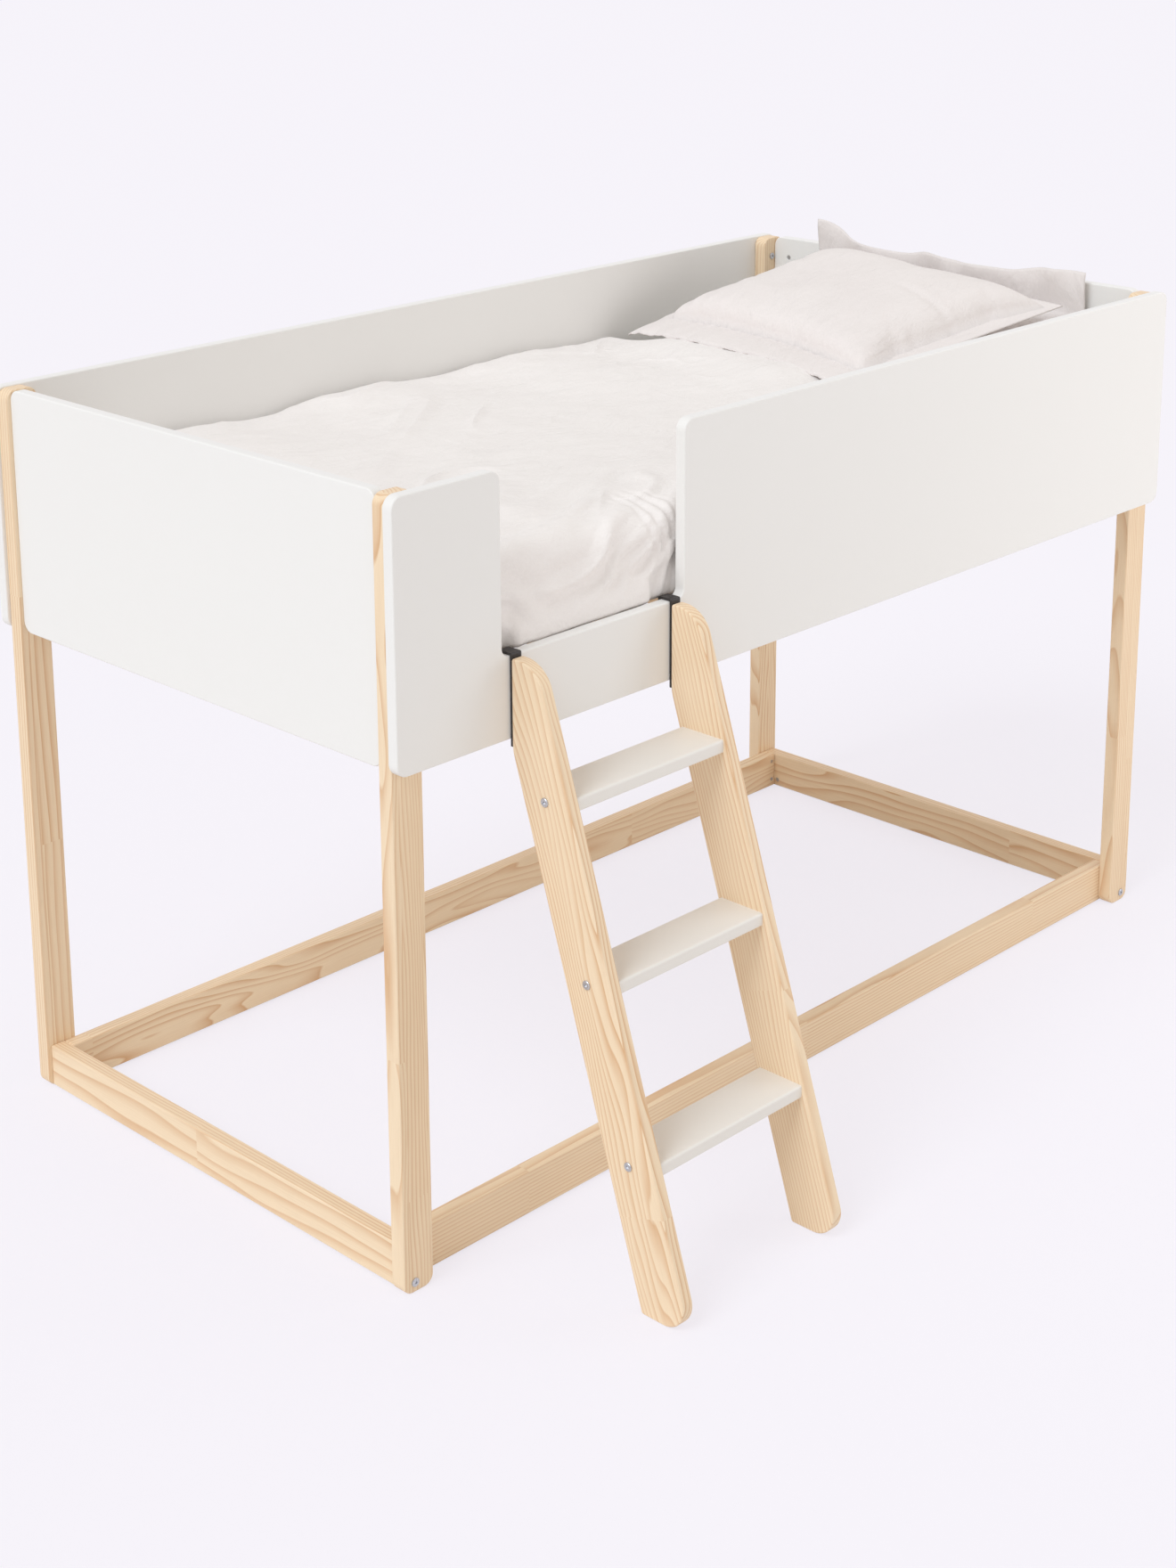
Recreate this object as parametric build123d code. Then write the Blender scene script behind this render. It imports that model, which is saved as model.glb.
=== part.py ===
from build123d import *
import math
import os

# Mid-height loft bed in pine and white board, with a hook-on ladder and its bedding.
# Millimetres, +Z up. The origin is on the floor, under the centre of the whole box.
# X runs from the foot end (-X) to the head end (+X), and the ladder is on the -Y side.

# Mattress, which sets the inside of the bed
MATTRESS_LENGTH = 1900.0
MATTRESS_WIDTH = 900.0
MATTRESS_THICKNESS = 138.0
MATTRESS_END_GAP = 17.0
MATTRESS_SIDE_GAP = 1.0
MATTRESS_CORNER_R = 40.0
MATTRESS_EDGE_R = 22.0

# White side and end panels
PANEL_T = 20.0
PANEL_HEIGHT = 418.0
PANEL_CLEARANCE = 844.0
PANEL_CORNER_R = 20.0
PANEL_EASE = 2.5
END_PANEL_INSET = 13.0

# Cut-out of the front panel that the ladder serves
ENTRY_START = 211.0
ENTRY_WIDTH = 400.0
SILL_HEIGHT = 131.0
ENTRY_TOP_R = 20.0
ENTRY_SILL_R = 14.0

# Pine posts
POST_WIDTH = 60.0
POST_T = 28.0
POST_INSET = 6.0
POST_TOP_DROP = 2.0
POST_CORNER_R = 18.0
WOOD_EASE = 2.5

# Pine rails of the bottom frame
RAIL_HEIGHT = 75.0
RAIL_T = 28.0
RAIL_LIFT = 3.0
END_RAIL_SETBACK = 8.0

# Cleats and slats that carry the mattress
CLEAT_HEIGHT = 46.0
CLEAT_T = 28.0
END_CLEAT_HEIGHT = 46.0
SLAT_COUNT = 14
SLAT_WIDTH = 70.0
SLAT_T = 18.0
SLAT_END_GAP = 8.0
SLAT_POST_GAP = 4.0
SLAT_LEVEL = 960.0
CLEAT_END_GAP = 0.5
SMALL_EASE = 1.5

# Ladder
LADDER_ANGLE = 17.5
STRINGER_WIDTH = 93.0
STRINGER_T = 22.0
STRINGER_KINK = 828.0
STRINGER_HEAD_R = 55.0
STRINGER_TOE_R = 40.0
STRINGER_KINK_R = 60.0
STRINGER_SMALL_R = 5.0
STRINGER_TOP_DROP = 3.0
LADDER_SIDE_GAP = 13.5
STEP_COUNT = 3
FIRST_STEP = 245.0
STEP_PITCH = 265.0
STEP_DEPTH = 86.0
STEP_T = 22.0
STEP_FRONT_INSET = 4.0
STEP_NOSE_R = 4.0

# Bent steel hooks that hang the ladder on the sill
HOOK_WIDTH = 20.0
HOOK_T = 4.0
HOOK_GAP = 0.5
HOOK_SEAT_GAP = 0.3
HOOK_FLANGE = 25.0
HOOK_TAIL = 142.0
HOOK_BEND_R = 3.0
HOOK_SCREW_DROPS = (30.0, 115.0)

# Hardware: shank radii, head radii and where each kind sits
FIT = 0.1
BOLT_R = 3.4
BOLT_HEAD_R = 7.2
BOLT_HEAD_T = 2.4
SOCKET_AF_R = 2.6
SOCKET_DEPTH = 1.6
BARREL_R = 5.0
BARREL_RECESS = 1.0
FRAME_BOLT_Z = 17.0
FRAME_BOLT_REACH = 42.0
FRAME_BARREL_LENGTH = 20.0
FRAME_DOWEL_Z = 56.0
DOWEL_R = 4.0
DOWEL_POST_DEPTH = 18.0
DOWEL_RAIL_DEPTH = 26.0
PANEL_FIXING_INSET = 42.0
PANEL_BOLT_REACH = 40.0
PANEL_BARREL_LENGTH = 15.0
HEAD_SINK = 0.5
SIDE_FIXING_X = 37.0
SIDE_BOLT_R = 3.0
SIDE_BOLT_DEPTH = 12.0
INSERT_R = 5.0
SCREW_R = 2.0
SCREW_HEAD_R = 4.2
SCREW_HEAD_T = 2.6
RAIL_SCREW_INSET = 10.0
RAIL_SCREW_EDGE = 16.0
RAIL_SCREW_LENGTH = 46.0
CLEAT_SCREW_LENGTH = 41.0
CLEAT_SCREW_COUNT = 6
END_CLEAT_SCREW_COUNT = 3
CLEAT_SCREW_EDGE = 60.0
SLAT_SCREW_LENGTH = 40.0
STEP_BOLT_REACH = 34.0
STEP_BARREL_LENGTH = 14.0
STEP_DOWEL_OFFSET = 28.0
STEP_DOWEL_R = 3.5
STEP_DOWEL_DEPTH = 14.0
HOOK_SCREW_LENGTH = 32.0

# Bedding. Pillow corners are measured from the head panel, the bed's middle line and the
# top of the mattress.
SOFT_GAP = 0.4
DUVET_T = 28.0
DUVET_CROWN = 6.0
DUVET_POST_GAP = 6.0
DUVET_HEAD_GAP = 517.0
DUVET_SHOULDER_R = 52.0
DUVET_EDGE_R = 22.0
DUVET_PANEL_GAP = 9.0
DUVET_BACK_GAP = 3.0
DUVET_HEM_LIFT = 8.0
DUVET_FOLD = 5.0
DUVET_FOLD_LENGTH = 430.0
DUVET_LAST_DIP = 25.0
DUVET_DRAPE_FOLD = 2.5
DUVET_DRAPE_LENGTH = 280.0
DUVET_STATIONS = 17
PILLOW_SEAM = 5.0
PILLOW_LIP = 1.0
PILLOW_STATIONS = 9
FRONT_BACK_NEAR = 477.0
FRONT_BACK_NEAR_SIDE = 416.0
FRONT_BACK_NEAR_RISE = 41.6
FRONT_NEAR = 602.0
FRONT_NEAR_SIDE = 209.0
FRONT_NEAR_RISE = 37.6
FRONT_FAR = 74.0
FRONT_BACK_FAR_SIDE = 236.0
FRONT_BACK_FAR_RISE = 163.6
FRONT_FAR_SIDE = 334.0
FRONT_FAR_RISE = 127.6
FRONT_CROWN = 58.0
FRONT_BELLY = 12.0
FRONT_DRAW_IN = 16.0
BACK_TOE = 489.0
BACK_TOE_DRAW_IN = 40.0
BACK_HEEL_GAP = 1.0
BACK_BACK_SIDE = 313.0
BACK_FRONT_SIDE = 347.0
BACK_KNEE = 77.0
BACK_TIP_RISE = 217.6
BACK_FRONT_TIP_RISE = 185.6
BACK_TIP_DIP = 50.0
BACK_TIP_FOLD = 16.0
BACK_SAG = 14.45
BACK_EDGE_SAG = 12.0
BACK_UNDER = 20.0
BACK_TIP_T = 12.0
BACK_TIP_LEAN = 14.0

# Sizes that follow from the ones above
END_PANEL_X = END_PANEL_INSET + PANEL_T
BED_LENGTH = MATTRESS_LENGTH + 2 * (MATTRESS_END_GAP + END_PANEL_X)
BED_WIDTH = MATTRESS_WIDTH + 2 * (MATTRESS_SIDE_GAP + POST_T + PANEL_T)
PANEL_TOP = PANEL_CLEARANCE + PANEL_HEIGHT
SILL_Z = PANEL_CLEARANCE + SILL_HEIGHT
POST_HEIGHT = PANEL_TOP - POST_TOP_DROP
POST_IN_Y = PANEL_T + POST_T
POST_IN_X = POST_INSET + POST_WIDTH
END_RAIL_X = POST_INSET + END_RAIL_SETBACK
RAIL_TOP = RAIL_LIFT + RAIL_HEIGHT
MATTRESS_TOP = SLAT_LEVEL + SOFT_GAP + MATTRESS_THICKNESS
SLOPE = math.tan(math.radians(LADDER_ANGLE))
STRINGER_RUN = STRINGER_WIDTH / math.cos(math.radians(LADDER_ANGLE))
STRINGER_BACK = HOOK_GAP + HOOK_T
STRINGER_TOP = SILL_Z - STRINGER_TOP_DROP
TOE_CUT = STRINGER_TOE_R * (SLOPE + 1 / math.cos(math.radians(LADDER_ANGLE)) - 1)
LADDER_REACH = STRINGER_BACK + STRINGER_KINK * SLOPE + STRINGER_RUN - TOE_CUT
LADDER_WIDTH = ENTRY_WIDTH - 2 * LADDER_SIDE_GAP
LADDER_START = ENTRY_START + LADDER_SIDE_GAP
HEAD_X = BED_LENGTH - END_PANEL_X

# The frame's origin: half the length, half of bed width and ladder reach together
X0 = -BED_LENGTH / 2
Y0 = (LADDER_REACH - BED_WIDTH) / 2
Y_MID = Y0 + BED_WIDTH / 2
HEAD_MIRROR = Plane.YZ
BACK_MIRROR = Plane.XZ.offset(-Y_MID)


def block(low, high):
    """A box between two corners given from the foot end, the front face and the floor."""
    size = [b - a for a, b in zip(low, high)]
    box = Box(*size, align=(Align.MIN, Align.MIN, Align.MIN))
    return Pos(X0 + low[0], Y0 + low[1], low[2]) * box


def eased(solid, radius):
    """The same solid with every edge rounded."""
    return fillet(solid.edges(), radius)


def board(low, high, radius=SMALL_EASE):
    return eased(block(low, high), radius)


def rod(start, direction, radius, length):
    """A cylinder from a point given from the foot end, the front face and the floor."""
    place = Plane(origin=(X0 + start[0], Y0 + start[1], start[2]), z_dir=direction)
    return place * Pos(0, 0, length / 2) * Cylinder(radius, length)


def facing(solid, face_axis, radius):
    """Rounds the outlines of a board's two broad faces."""
    broad = solid.faces().filter_by(face_axis).sort_by(SortBy.AREA)[-2:]
    return fillet(broad.edges(), radius)


def to_head(solid):
    return mirror(solid, about=HEAD_MIRROR)


def to_back(solid):
    return mirror(solid, about=BACK_MIRROR)


def at_corners(solid):
    """One solid of the front foot corner, and its copies at the other three."""
    back = to_back(solid)
    return [solid, to_head(solid), back, to_head(back)]


def joined_group(solids):
    """Separate solids kept together in one node."""
    return Compound(children=[piece for item in solids for piece in item.solids()])


def cut(solid, tools):
    """The solid with each tool that reaches it taken away."""
    for tool in tools:
        solid = solid - tool
    return solid


# Fasteners

def bolt(start, direction, shank_r, length):
    """A flat-headed bolt with a hexagon socket; the start is under its head."""
    place = Plane(origin=(X0 + start[0], Y0 + start[1], start[2]), z_dir=direction)
    head = Pos(0, 0, -BOLT_HEAD_T / 2) * Cylinder(BOLT_HEAD_R, BOLT_HEAD_T)
    head = chamfer(head.faces().sort_by(Axis.Z)[0].edges(), BOLT_HEAD_T / 3)
    shank = Pos(0, 0, length / 2) * Cylinder(shank_r, length)
    socket = extrude(RegularPolygon(SOCKET_AF_R, 6), amount=SOCKET_DEPTH)
    return place * (head + shank - Pos(0, 0, -BOLT_HEAD_T) * socket)


def screw(start, direction, length):
    """A countersunk wood screw; the start is the middle of its flush head."""
    place = Plane(origin=(X0 + start[0], Y0 + start[1], start[2]), z_dir=direction)
    head = Pos(0, 0, SCREW_HEAD_T / 2) * Cone(SCREW_HEAD_R, SCREW_R, SCREW_HEAD_T)
    shank = Pos(0, 0, (SCREW_HEAD_T + length) / 2) * Cylinder(SCREW_R, length - SCREW_HEAD_T)
    slot = extrude(Rectangle(SCREW_HEAD_R, SCREW_R / 2.5), amount=SCREW_R / 2)
    return place * (head + shank - slot - Rot(0, 0, 90) * slot)


def screw_hole(start, direction, length):
    """The countersunk hole that a screw fits."""
    place = Plane(origin=(X0 + start[0], Y0 + start[1], start[2]), z_dir=direction)
    head = Pos(0, 0, SCREW_HEAD_T / 2)
    head = head * Cone(SCREW_HEAD_R + FIT, SCREW_R + FIT, SCREW_HEAD_T)
    return place * (head + Pos(0, 0, length / 2) * Cylinder(SCREW_R + FIT, length + FIT))


# Bottom fixings of a post: a bolt and a dowel into the end rail

END_RAIL_MID = END_RAIL_X + RAIL_T / 2
FRAME_BARREL_X = END_RAIL_X + RAIL_T - BARREL_RECESS - FRAME_BARREL_LENGTH


def frame_bolt():
    length = POST_T + FRAME_BOLT_REACH
    return bolt((END_RAIL_MID, PANEL_T, FRAME_BOLT_Z), (0, 1, 0), BOLT_R, length)


def frame_bolt_hole():
    length = POST_T + FRAME_BOLT_REACH + FIT
    return rod((END_RAIL_MID, PANEL_T, FRAME_BOLT_Z), (0, 1, 0), BOLT_R + FIT, length)


def frame_barrel_nut():
    y = PANEL_T + POST_T + FRAME_BOLT_REACH - BARREL_R
    return rod((FRAME_BARREL_X, y, FRAME_BOLT_Z), (1, 0, 0), BARREL_R, FRAME_BARREL_LENGTH)


def frame_barrel_hole():
    y = PANEL_T + POST_T + FRAME_BOLT_REACH - BARREL_R
    depth = END_RAIL_X + RAIL_T - FRAME_BARREL_X + FIT
    return rod((FRAME_BARREL_X - FIT, y, FRAME_BOLT_Z), (1, 0, 0), BARREL_R + FIT, depth + FIT)


def frame_dowel(extra=0.0):
    start = (END_RAIL_MID, POST_IN_Y - DOWEL_POST_DEPTH - extra, FRAME_DOWEL_Z)
    length = DOWEL_POST_DEPTH + DOWEL_RAIL_DEPTH + 2 * extra
    return rod(start, (0, 1, 0), DOWEL_R + extra, length)


# Fixings of the panels to a post, two heights each

PANEL_FIXING_Z = (PANEL_CLEARANCE + PANEL_FIXING_INSET, PANEL_TOP - PANEL_FIXING_INSET)
END_PANEL_MID = END_PANEL_INSET + PANEL_T / 2
PANEL_BOLT_Y = PANEL_T + BOLT_HEAD_T + HEAD_SINK
PANEL_BARREL_X = END_PANEL_X - BARREL_RECESS - PANEL_BARREL_LENGTH
PANEL_BARREL_Y = POST_IN_Y + PANEL_BOLT_REACH
PANEL_BOLT_LENGTH = PANEL_BARREL_Y + BARREL_R - PANEL_BOLT_Y
SIDE_BOLT_X = POST_IN_X + END_PANEL_INSET - SIDE_FIXING_X
SIDE_INSERT_Y = PANEL_T - SIDE_BOLT_DEPTH


def end_panel_bolt(z):
    return bolt((END_PANEL_MID, PANEL_BOLT_Y, z), (0, 1, 0), BOLT_R, PANEL_BOLT_LENGTH)


def end_panel_bolt_hole(z):
    shank = rod((END_PANEL_MID, PANEL_T, z), (0, 1, 0), BOLT_R + FIT,
                PANEL_BARREL_Y + BARREL_R + FIT - PANEL_T)
    seat = rod((END_PANEL_MID, PANEL_T, z), (0, 1, 0), BOLT_HEAD_R + FIT,
               BOLT_HEAD_T + HEAD_SINK)
    return shank + seat


def end_panel_barrel_nut(z):
    return rod((PANEL_BARREL_X, PANEL_BARREL_Y, z), (1, 0, 0), BARREL_R, PANEL_BARREL_LENGTH)


def end_panel_barrel_hole(z):
    depth = END_PANEL_X - PANEL_BARREL_X + 2 * FIT
    return rod((PANEL_BARREL_X - FIT, PANEL_BARREL_Y, z), (1, 0, 0), BARREL_R + FIT, depth)


def side_panel_bolt(z):
    length = POST_T + SIDE_BOLT_DEPTH - FIT
    return bolt((SIDE_BOLT_X, POST_IN_Y, z), (0, -1, 0), SIDE_BOLT_R, length)


def side_panel_bolt_hole(z):
    return rod((SIDE_BOLT_X, POST_IN_Y, z), (0, -1, 0), SIDE_BOLT_R + FIT, POST_T)


def side_panel_insert(z):
    sleeve = rod((SIDE_BOLT_X, SIDE_INSERT_Y, z), (0, 1, 0), INSERT_R, SIDE_BOLT_DEPTH)
    return sleeve - rod((SIDE_BOLT_X, SIDE_INSERT_Y, z), (0, 1, 0), SIDE_BOLT_R + FIT,
                        SIDE_BOLT_DEPTH)


def side_panel_insert_hole(z):
    return rod((SIDE_BOLT_X, SIDE_INSERT_Y - FIT, z), (0, 1, 0), INSERT_R + FIT,
               SIDE_BOLT_DEPTH + FIT)


# Bed frame

def post():
    """The post at the front foot corner, with rounded ends."""
    profile = RectangleRounded(POST_WIDTH, POST_HEIGHT, POST_CORNER_R)
    face = Pos(X0 + POST_INSET + POST_WIDTH / 2, POST_HEIGHT / 2) * profile
    solid = extrude(Plane.XZ.offset(-(Y0 + POST_IN_Y)) * face, amount=POST_T)
    solid = facing(solid, Axis.Y, WOOD_EASE)
    holes = [frame_bolt_hole(), frame_dowel(FIT)]
    holes += [end_panel_bolt_hole(z) for z in PANEL_FIXING_Z]
    holes += [side_panel_bolt_hole(z) for z in PANEL_FIXING_Z]
    holes += [rail_screw_cut(z) for z in RAIL_SCREW_Z]
    return cut(solid, holes)


def side_panel_face():
    low, high = PANEL_CLEARANCE, PANEL_TOP
    face = RectangleRounded(BED_LENGTH, high - low, PANEL_CORNER_R)
    return Pos(0, (low + high) / 2) * face


def entry_face():
    """The cut-out: straight sides, rounded at the sill."""
    depth = PANEL_TOP - SILL_Z
    top = PANEL_TOP + depth
    face = Pos(X0 + ENTRY_START + ENTRY_WIDTH / 2, (SILL_Z + top) / 2)
    return face * RectangleRounded(ENTRY_WIDTH, top - SILL_Z, ENTRY_SILL_R)


def side_panel(with_entry):
    """The front panel, or its back twin before it is mirrored over."""
    face = side_panel_face()
    if with_entry:
        face = face - entry_face()
        lips = face.vertices().filter_by_position(Axis.Y, PANEL_TOP - 1, PANEL_TOP + 1)
        edges = [X0 + ENTRY_START, X0 + ENTRY_START + ENTRY_WIDTH]
        lips = [v for v in lips if min(abs(v.X - x) for x in edges) < 1]
        face = fillet(lips, ENTRY_TOP_R)
    solid = extrude(Plane.XZ.offset(-(Y0 + PANEL_T)) * face, amount=PANEL_T)
    solid = facing(solid, Axis.Y, PANEL_EASE)
    holes = [side_panel_insert_hole(z) for z in PANEL_FIXING_Z]
    holes = holes + [to_head(hole) for hole in holes]
    return cut(solid, holes + cleat_screw_cuts())


def end_panel():
    """The foot panel, held between the front and back posts."""
    width = BED_WIDTH - 2 * POST_IN_Y
    face = Pos(Y_MID, PANEL_CLEARANCE + PANEL_HEIGHT / 2)
    face = face * RectangleRounded(width, PANEL_HEIGHT, PANEL_CORNER_R)
    solid = extrude(Plane.YZ.offset(X0 + END_PANEL_INSET) * face, amount=PANEL_T)
    solid = facing(solid, Axis.X, PANEL_EASE)
    holes = []
    for z in PANEL_FIXING_Z:
        pair = [end_panel_bolt_hole(z), end_panel_barrel_hole(z)]
        holes += pair + [to_back(hole) for hole in pair]
    return cut(solid, holes + end_cleat_screw_cuts())


def end_rail():
    solid = board((END_RAIL_X, POST_IN_Y, RAIL_LIFT),
                  (END_RAIL_X + RAIL_T, BED_WIDTH - POST_IN_Y, RAIL_TOP), WOOD_EASE)
    holes = [frame_bolt_hole(), frame_barrel_hole(), frame_dowel(FIT)]
    return cut(solid, holes + [to_back(hole) for hole in holes])


SIDE_RAIL_X = END_RAIL_X + RAIL_T
RAIL_SCREW_Z = (RAIL_LIFT + RAIL_SCREW_EDGE, RAIL_TOP - RAIL_SCREW_EDGE)
RAIL_SCREW_Y = POST_IN_Y + RAIL_T


def rail_screw(z):
    start = (SIDE_RAIL_X + RAIL_SCREW_INSET, RAIL_SCREW_Y, z)
    return screw(start, (0, -1, 0), RAIL_SCREW_LENGTH)


def rail_screw_cut(z):
    start = (SIDE_RAIL_X + RAIL_SCREW_INSET, RAIL_SCREW_Y, z)
    return screw_hole(start, (0, -1, 0), RAIL_SCREW_LENGTH)


def side_rail():
    """The front rail, screwed to the posts' inner faces."""
    solid = board((SIDE_RAIL_X, POST_IN_Y, RAIL_LIFT),
                  (BED_LENGTH - SIDE_RAIL_X, RAIL_SCREW_Y, RAIL_TOP), WOOD_EASE)
    holes = [rail_screw_cut(z) for z in RAIL_SCREW_Z]
    return cut(solid, holes + [to_head(hole) for hole in holes])


# Cleats and slats

SIDE_CLEAT_TOP = SLAT_LEVEL - SLAT_T
CLEAT_SCREW_Z = SIDE_CLEAT_TOP - CLEAT_HEIGHT * 0.6
END_CLEAT_SCREW_Z = SLAT_LEVEL - END_CLEAT_HEIGHT / 2
END_CLEAT_X = END_PANEL_X
SLAT_FIRST = POST_IN_X + SLAT_POST_GAP
SLAT_SPACING = (BED_LENGTH - 2 * SLAT_FIRST - SLAT_WIDTH) / (SLAT_COUNT - 1)


def spread(first, last, count):
    """Evenly spaced places, both ends included."""
    return [first + (last - first) * i / (count - 1) for i in range(count)]


def cleat_screw_places():
    first = POST_IN_X + CLEAT_SCREW_EDGE
    return spread(first, BED_LENGTH - first, CLEAT_SCREW_COUNT)


def end_cleat_screw_places():
    first = POST_IN_Y + CLEAT_SCREW_EDGE
    return spread(first, BED_WIDTH - first, END_CLEAT_SCREW_COUNT)


def cleat_screws():
    start_y = PANEL_T + CLEAT_T
    return [screw((x, start_y, CLEAT_SCREW_Z), (0, -1, 0), CLEAT_SCREW_LENGTH)
            for x in cleat_screw_places()]


def cleat_screw_cuts():
    start_y = PANEL_T + CLEAT_T
    return [screw_hole((x, start_y, CLEAT_SCREW_Z), (0, -1, 0), CLEAT_SCREW_LENGTH)
            for x in cleat_screw_places()]


def end_cleat_screws():
    start_x = END_CLEAT_X + CLEAT_T
    return [screw((start_x, y, END_CLEAT_SCREW_Z), (-1, 0, 0), CLEAT_SCREW_LENGTH)
            for y in end_cleat_screw_places()]


def end_cleat_screw_cuts():
    start_x = END_CLEAT_X + CLEAT_T
    return [screw_hole((start_x, y, END_CLEAT_SCREW_Z), (-1, 0, 0), CLEAT_SCREW_LENGTH)
            for y in end_cleat_screw_places()]


def slat_places():
    return [SLAT_FIRST + SLAT_WIDTH / 2 + SLAT_SPACING * i for i in range(SLAT_COUNT)]


def slat_screws(x):
    """The front and back screw of the slat centred at x."""
    front = screw((x, PANEL_T + CLEAT_T / 2, SLAT_LEVEL), (0, 0, -1), SLAT_SCREW_LENGTH)
    return [front, to_back(front)]


def slat_screw_cuts(x):
    front = screw_hole((x, PANEL_T + CLEAT_T / 2, SLAT_LEVEL), (0, 0, -1), SLAT_SCREW_LENGTH)
    return [front, to_back(front)]


def side_cleat():
    """The front cleat, between the posts on the panel's inner face."""
    solid = board((POST_IN_X + CLEAT_END_GAP, PANEL_T, SIDE_CLEAT_TOP - CLEAT_HEIGHT),
                  (BED_LENGTH - POST_IN_X - CLEAT_END_GAP, PANEL_T + CLEAT_T, SIDE_CLEAT_TOP))
    holes = cleat_screw_cuts()
    for x in slat_places():
        holes.append(slat_screw_cuts(x)[0])
    return cut(solid, holes)


def end_cleat():
    solid = board((END_CLEAT_X, POST_IN_Y + CLEAT_END_GAP, SLAT_LEVEL - END_CLEAT_HEIGHT),
                  (END_CLEAT_X + CLEAT_T, BED_WIDTH - POST_IN_Y - CLEAT_END_GAP, SLAT_LEVEL))
    return cut(solid, end_cleat_screw_cuts())


def slat(x):
    low = (x - SLAT_WIDTH / 2, PANEL_T + SLAT_END_GAP, SLAT_LEVEL - SLAT_T)
    high = (x + SLAT_WIDTH / 2, BED_WIDTH - PANEL_T - SLAT_END_GAP, SLAT_LEVEL)
    return cut(board(low, high), slat_screw_cuts(x))


# Ladder. Its side profile is drawn as distance out from the front panel, and height.

def ladder_front(z):
    """How far out the stringers' front edge is at a height."""
    return STRINGER_BACK + (STRINGER_KINK - z) * SLOPE + STRINGER_RUN


def ladder_profile_face():
    foot = STRINGER_BACK + STRINGER_KINK * SLOPE
    corners = [
        ((STRINGER_BACK, STRINGER_TOP), STRINGER_SMALL_R),
        ((ladder_front(STRINGER_TOP), STRINGER_TOP), STRINGER_HEAD_R),
        ((ladder_front(0), 0), STRINGER_TOE_R),
        ((foot, 0), STRINGER_SMALL_R),
        ((STRINGER_BACK, STRINGER_KINK), STRINGER_KINK_R),
    ]
    face = make_face(Polyline([Y0_out(point) for point, _ in corners], close=True))
    for point, radius in corners:
        y, z = Y0_out(point)
        near = face.vertices().sort_by_distance((y, z, 0))[0]
        face = fillet(near, radius)
    return face


def Y0_out(point):
    """A profile point, as a place on the YZ plane."""
    return (Y0 - point[0], point[1])


STEP_LEFT = LADDER_START + STRINGER_T
STEP_RIGHT = LADDER_START + LADDER_WIDTH - STRINGER_T
STEP_TOPS = [FIRST_STEP + STEP_PITCH * i for i in range(STEP_COUNT)]


def step_middle(top):
    """Where the step's centre line is: distance out, and height."""
    return (ladder_front(top) - STEP_FRONT_INSET - STEP_DEPTH / 2, top - STEP_T / 2)


def step_bolt(top):
    out, z = step_middle(top)
    length = STRINGER_T + STEP_BOLT_REACH + BARREL_R
    return bolt((LADDER_START, -out, z), (1, 0, 0), SIDE_BOLT_R, length)


def step_bolt_hole(top):
    out, z = step_middle(top)
    length = STRINGER_T + STEP_BOLT_REACH + BARREL_R + FIT
    return rod((LADDER_START, -out, z), (1, 0, 0), SIDE_BOLT_R + FIT, length)


def step_barrel_nut(top):
    out, z = step_middle(top)
    low = top - STEP_T + BARREL_RECESS
    return rod((STEP_LEFT + STEP_BOLT_REACH, -out, low), (0, 0, 1), BARREL_R, STEP_BARREL_LENGTH)


def step_barrel_hole(top):
    out, z = step_middle(top)
    depth = BARREL_RECESS + STEP_BARREL_LENGTH + FIT
    return rod((STEP_LEFT + STEP_BOLT_REACH, -out, top - STEP_T), (0, 0, 1), BARREL_R + FIT, depth)


def step_dowels(top, extra=0.0):
    out, z = step_middle(top)
    length = 2 * (STEP_DOWEL_DEPTH + extra)
    return [rod((STEP_LEFT - length / 2, -(out + side * STEP_DOWEL_OFFSET), z), (1, 0, 0),
                STEP_DOWEL_R + extra, length) for side in (-1, 1)]


LADDER_MIRROR = Plane.YZ.offset(X0 + LADDER_START + LADDER_WIDTH / 2)


def to_right(solid):
    return mirror(solid, about=LADDER_MIRROR)


def hook_screws():
    start_x = LADDER_START + STRINGER_T / 2
    return [screw((start_x, -HOOK_GAP, SILL_Z - drop), (0, -1, 0), HOOK_SCREW_LENGTH)
            for drop in HOOK_SCREW_DROPS]


def hook_screw_cuts():
    start_x = LADDER_START + STRINGER_T / 2
    return [screw_hole((start_x, -HOOK_GAP, SILL_Z - drop), (0, -1, 0), HOOK_SCREW_LENGTH)
            for drop in HOOK_SCREW_DROPS]


def stringer():
    """The left stringer, on the foot side."""
    side = Plane.YZ.offset(X0 + LADDER_START)
    solid = extrude(side * ladder_profile_face(), amount=STRINGER_T)
    solid = facing(solid, Axis.X, WOOD_EASE)
    holes = hook_screw_cuts()
    for top in STEP_TOPS:
        holes += [step_bolt_hole(top)] + step_dowels(top, FIT)
    return cut(solid, holes)


def step(top):
    front = ladder_front(top) - STEP_FRONT_INSET
    solid = block((STEP_LEFT, -front, top - STEP_T), (STEP_RIGHT, STEP_DEPTH - front, top))
    nose = solid.faces().sort_by(Axis.Y)[0].edges().filter_by(Axis.X)
    solid = fillet(nose, STEP_NOSE_R)
    heel = solid.faces().sort_by(Axis.Y)[-1].edges().filter_by(Axis.X)
    solid = fillet(heel, SMALL_EASE)
    holes = [step_bolt_hole(top), step_barrel_hole(top)] + step_dowels(top, FIT)
    return cut(solid, holes + [to_right(hole) for hole in holes])


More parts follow.
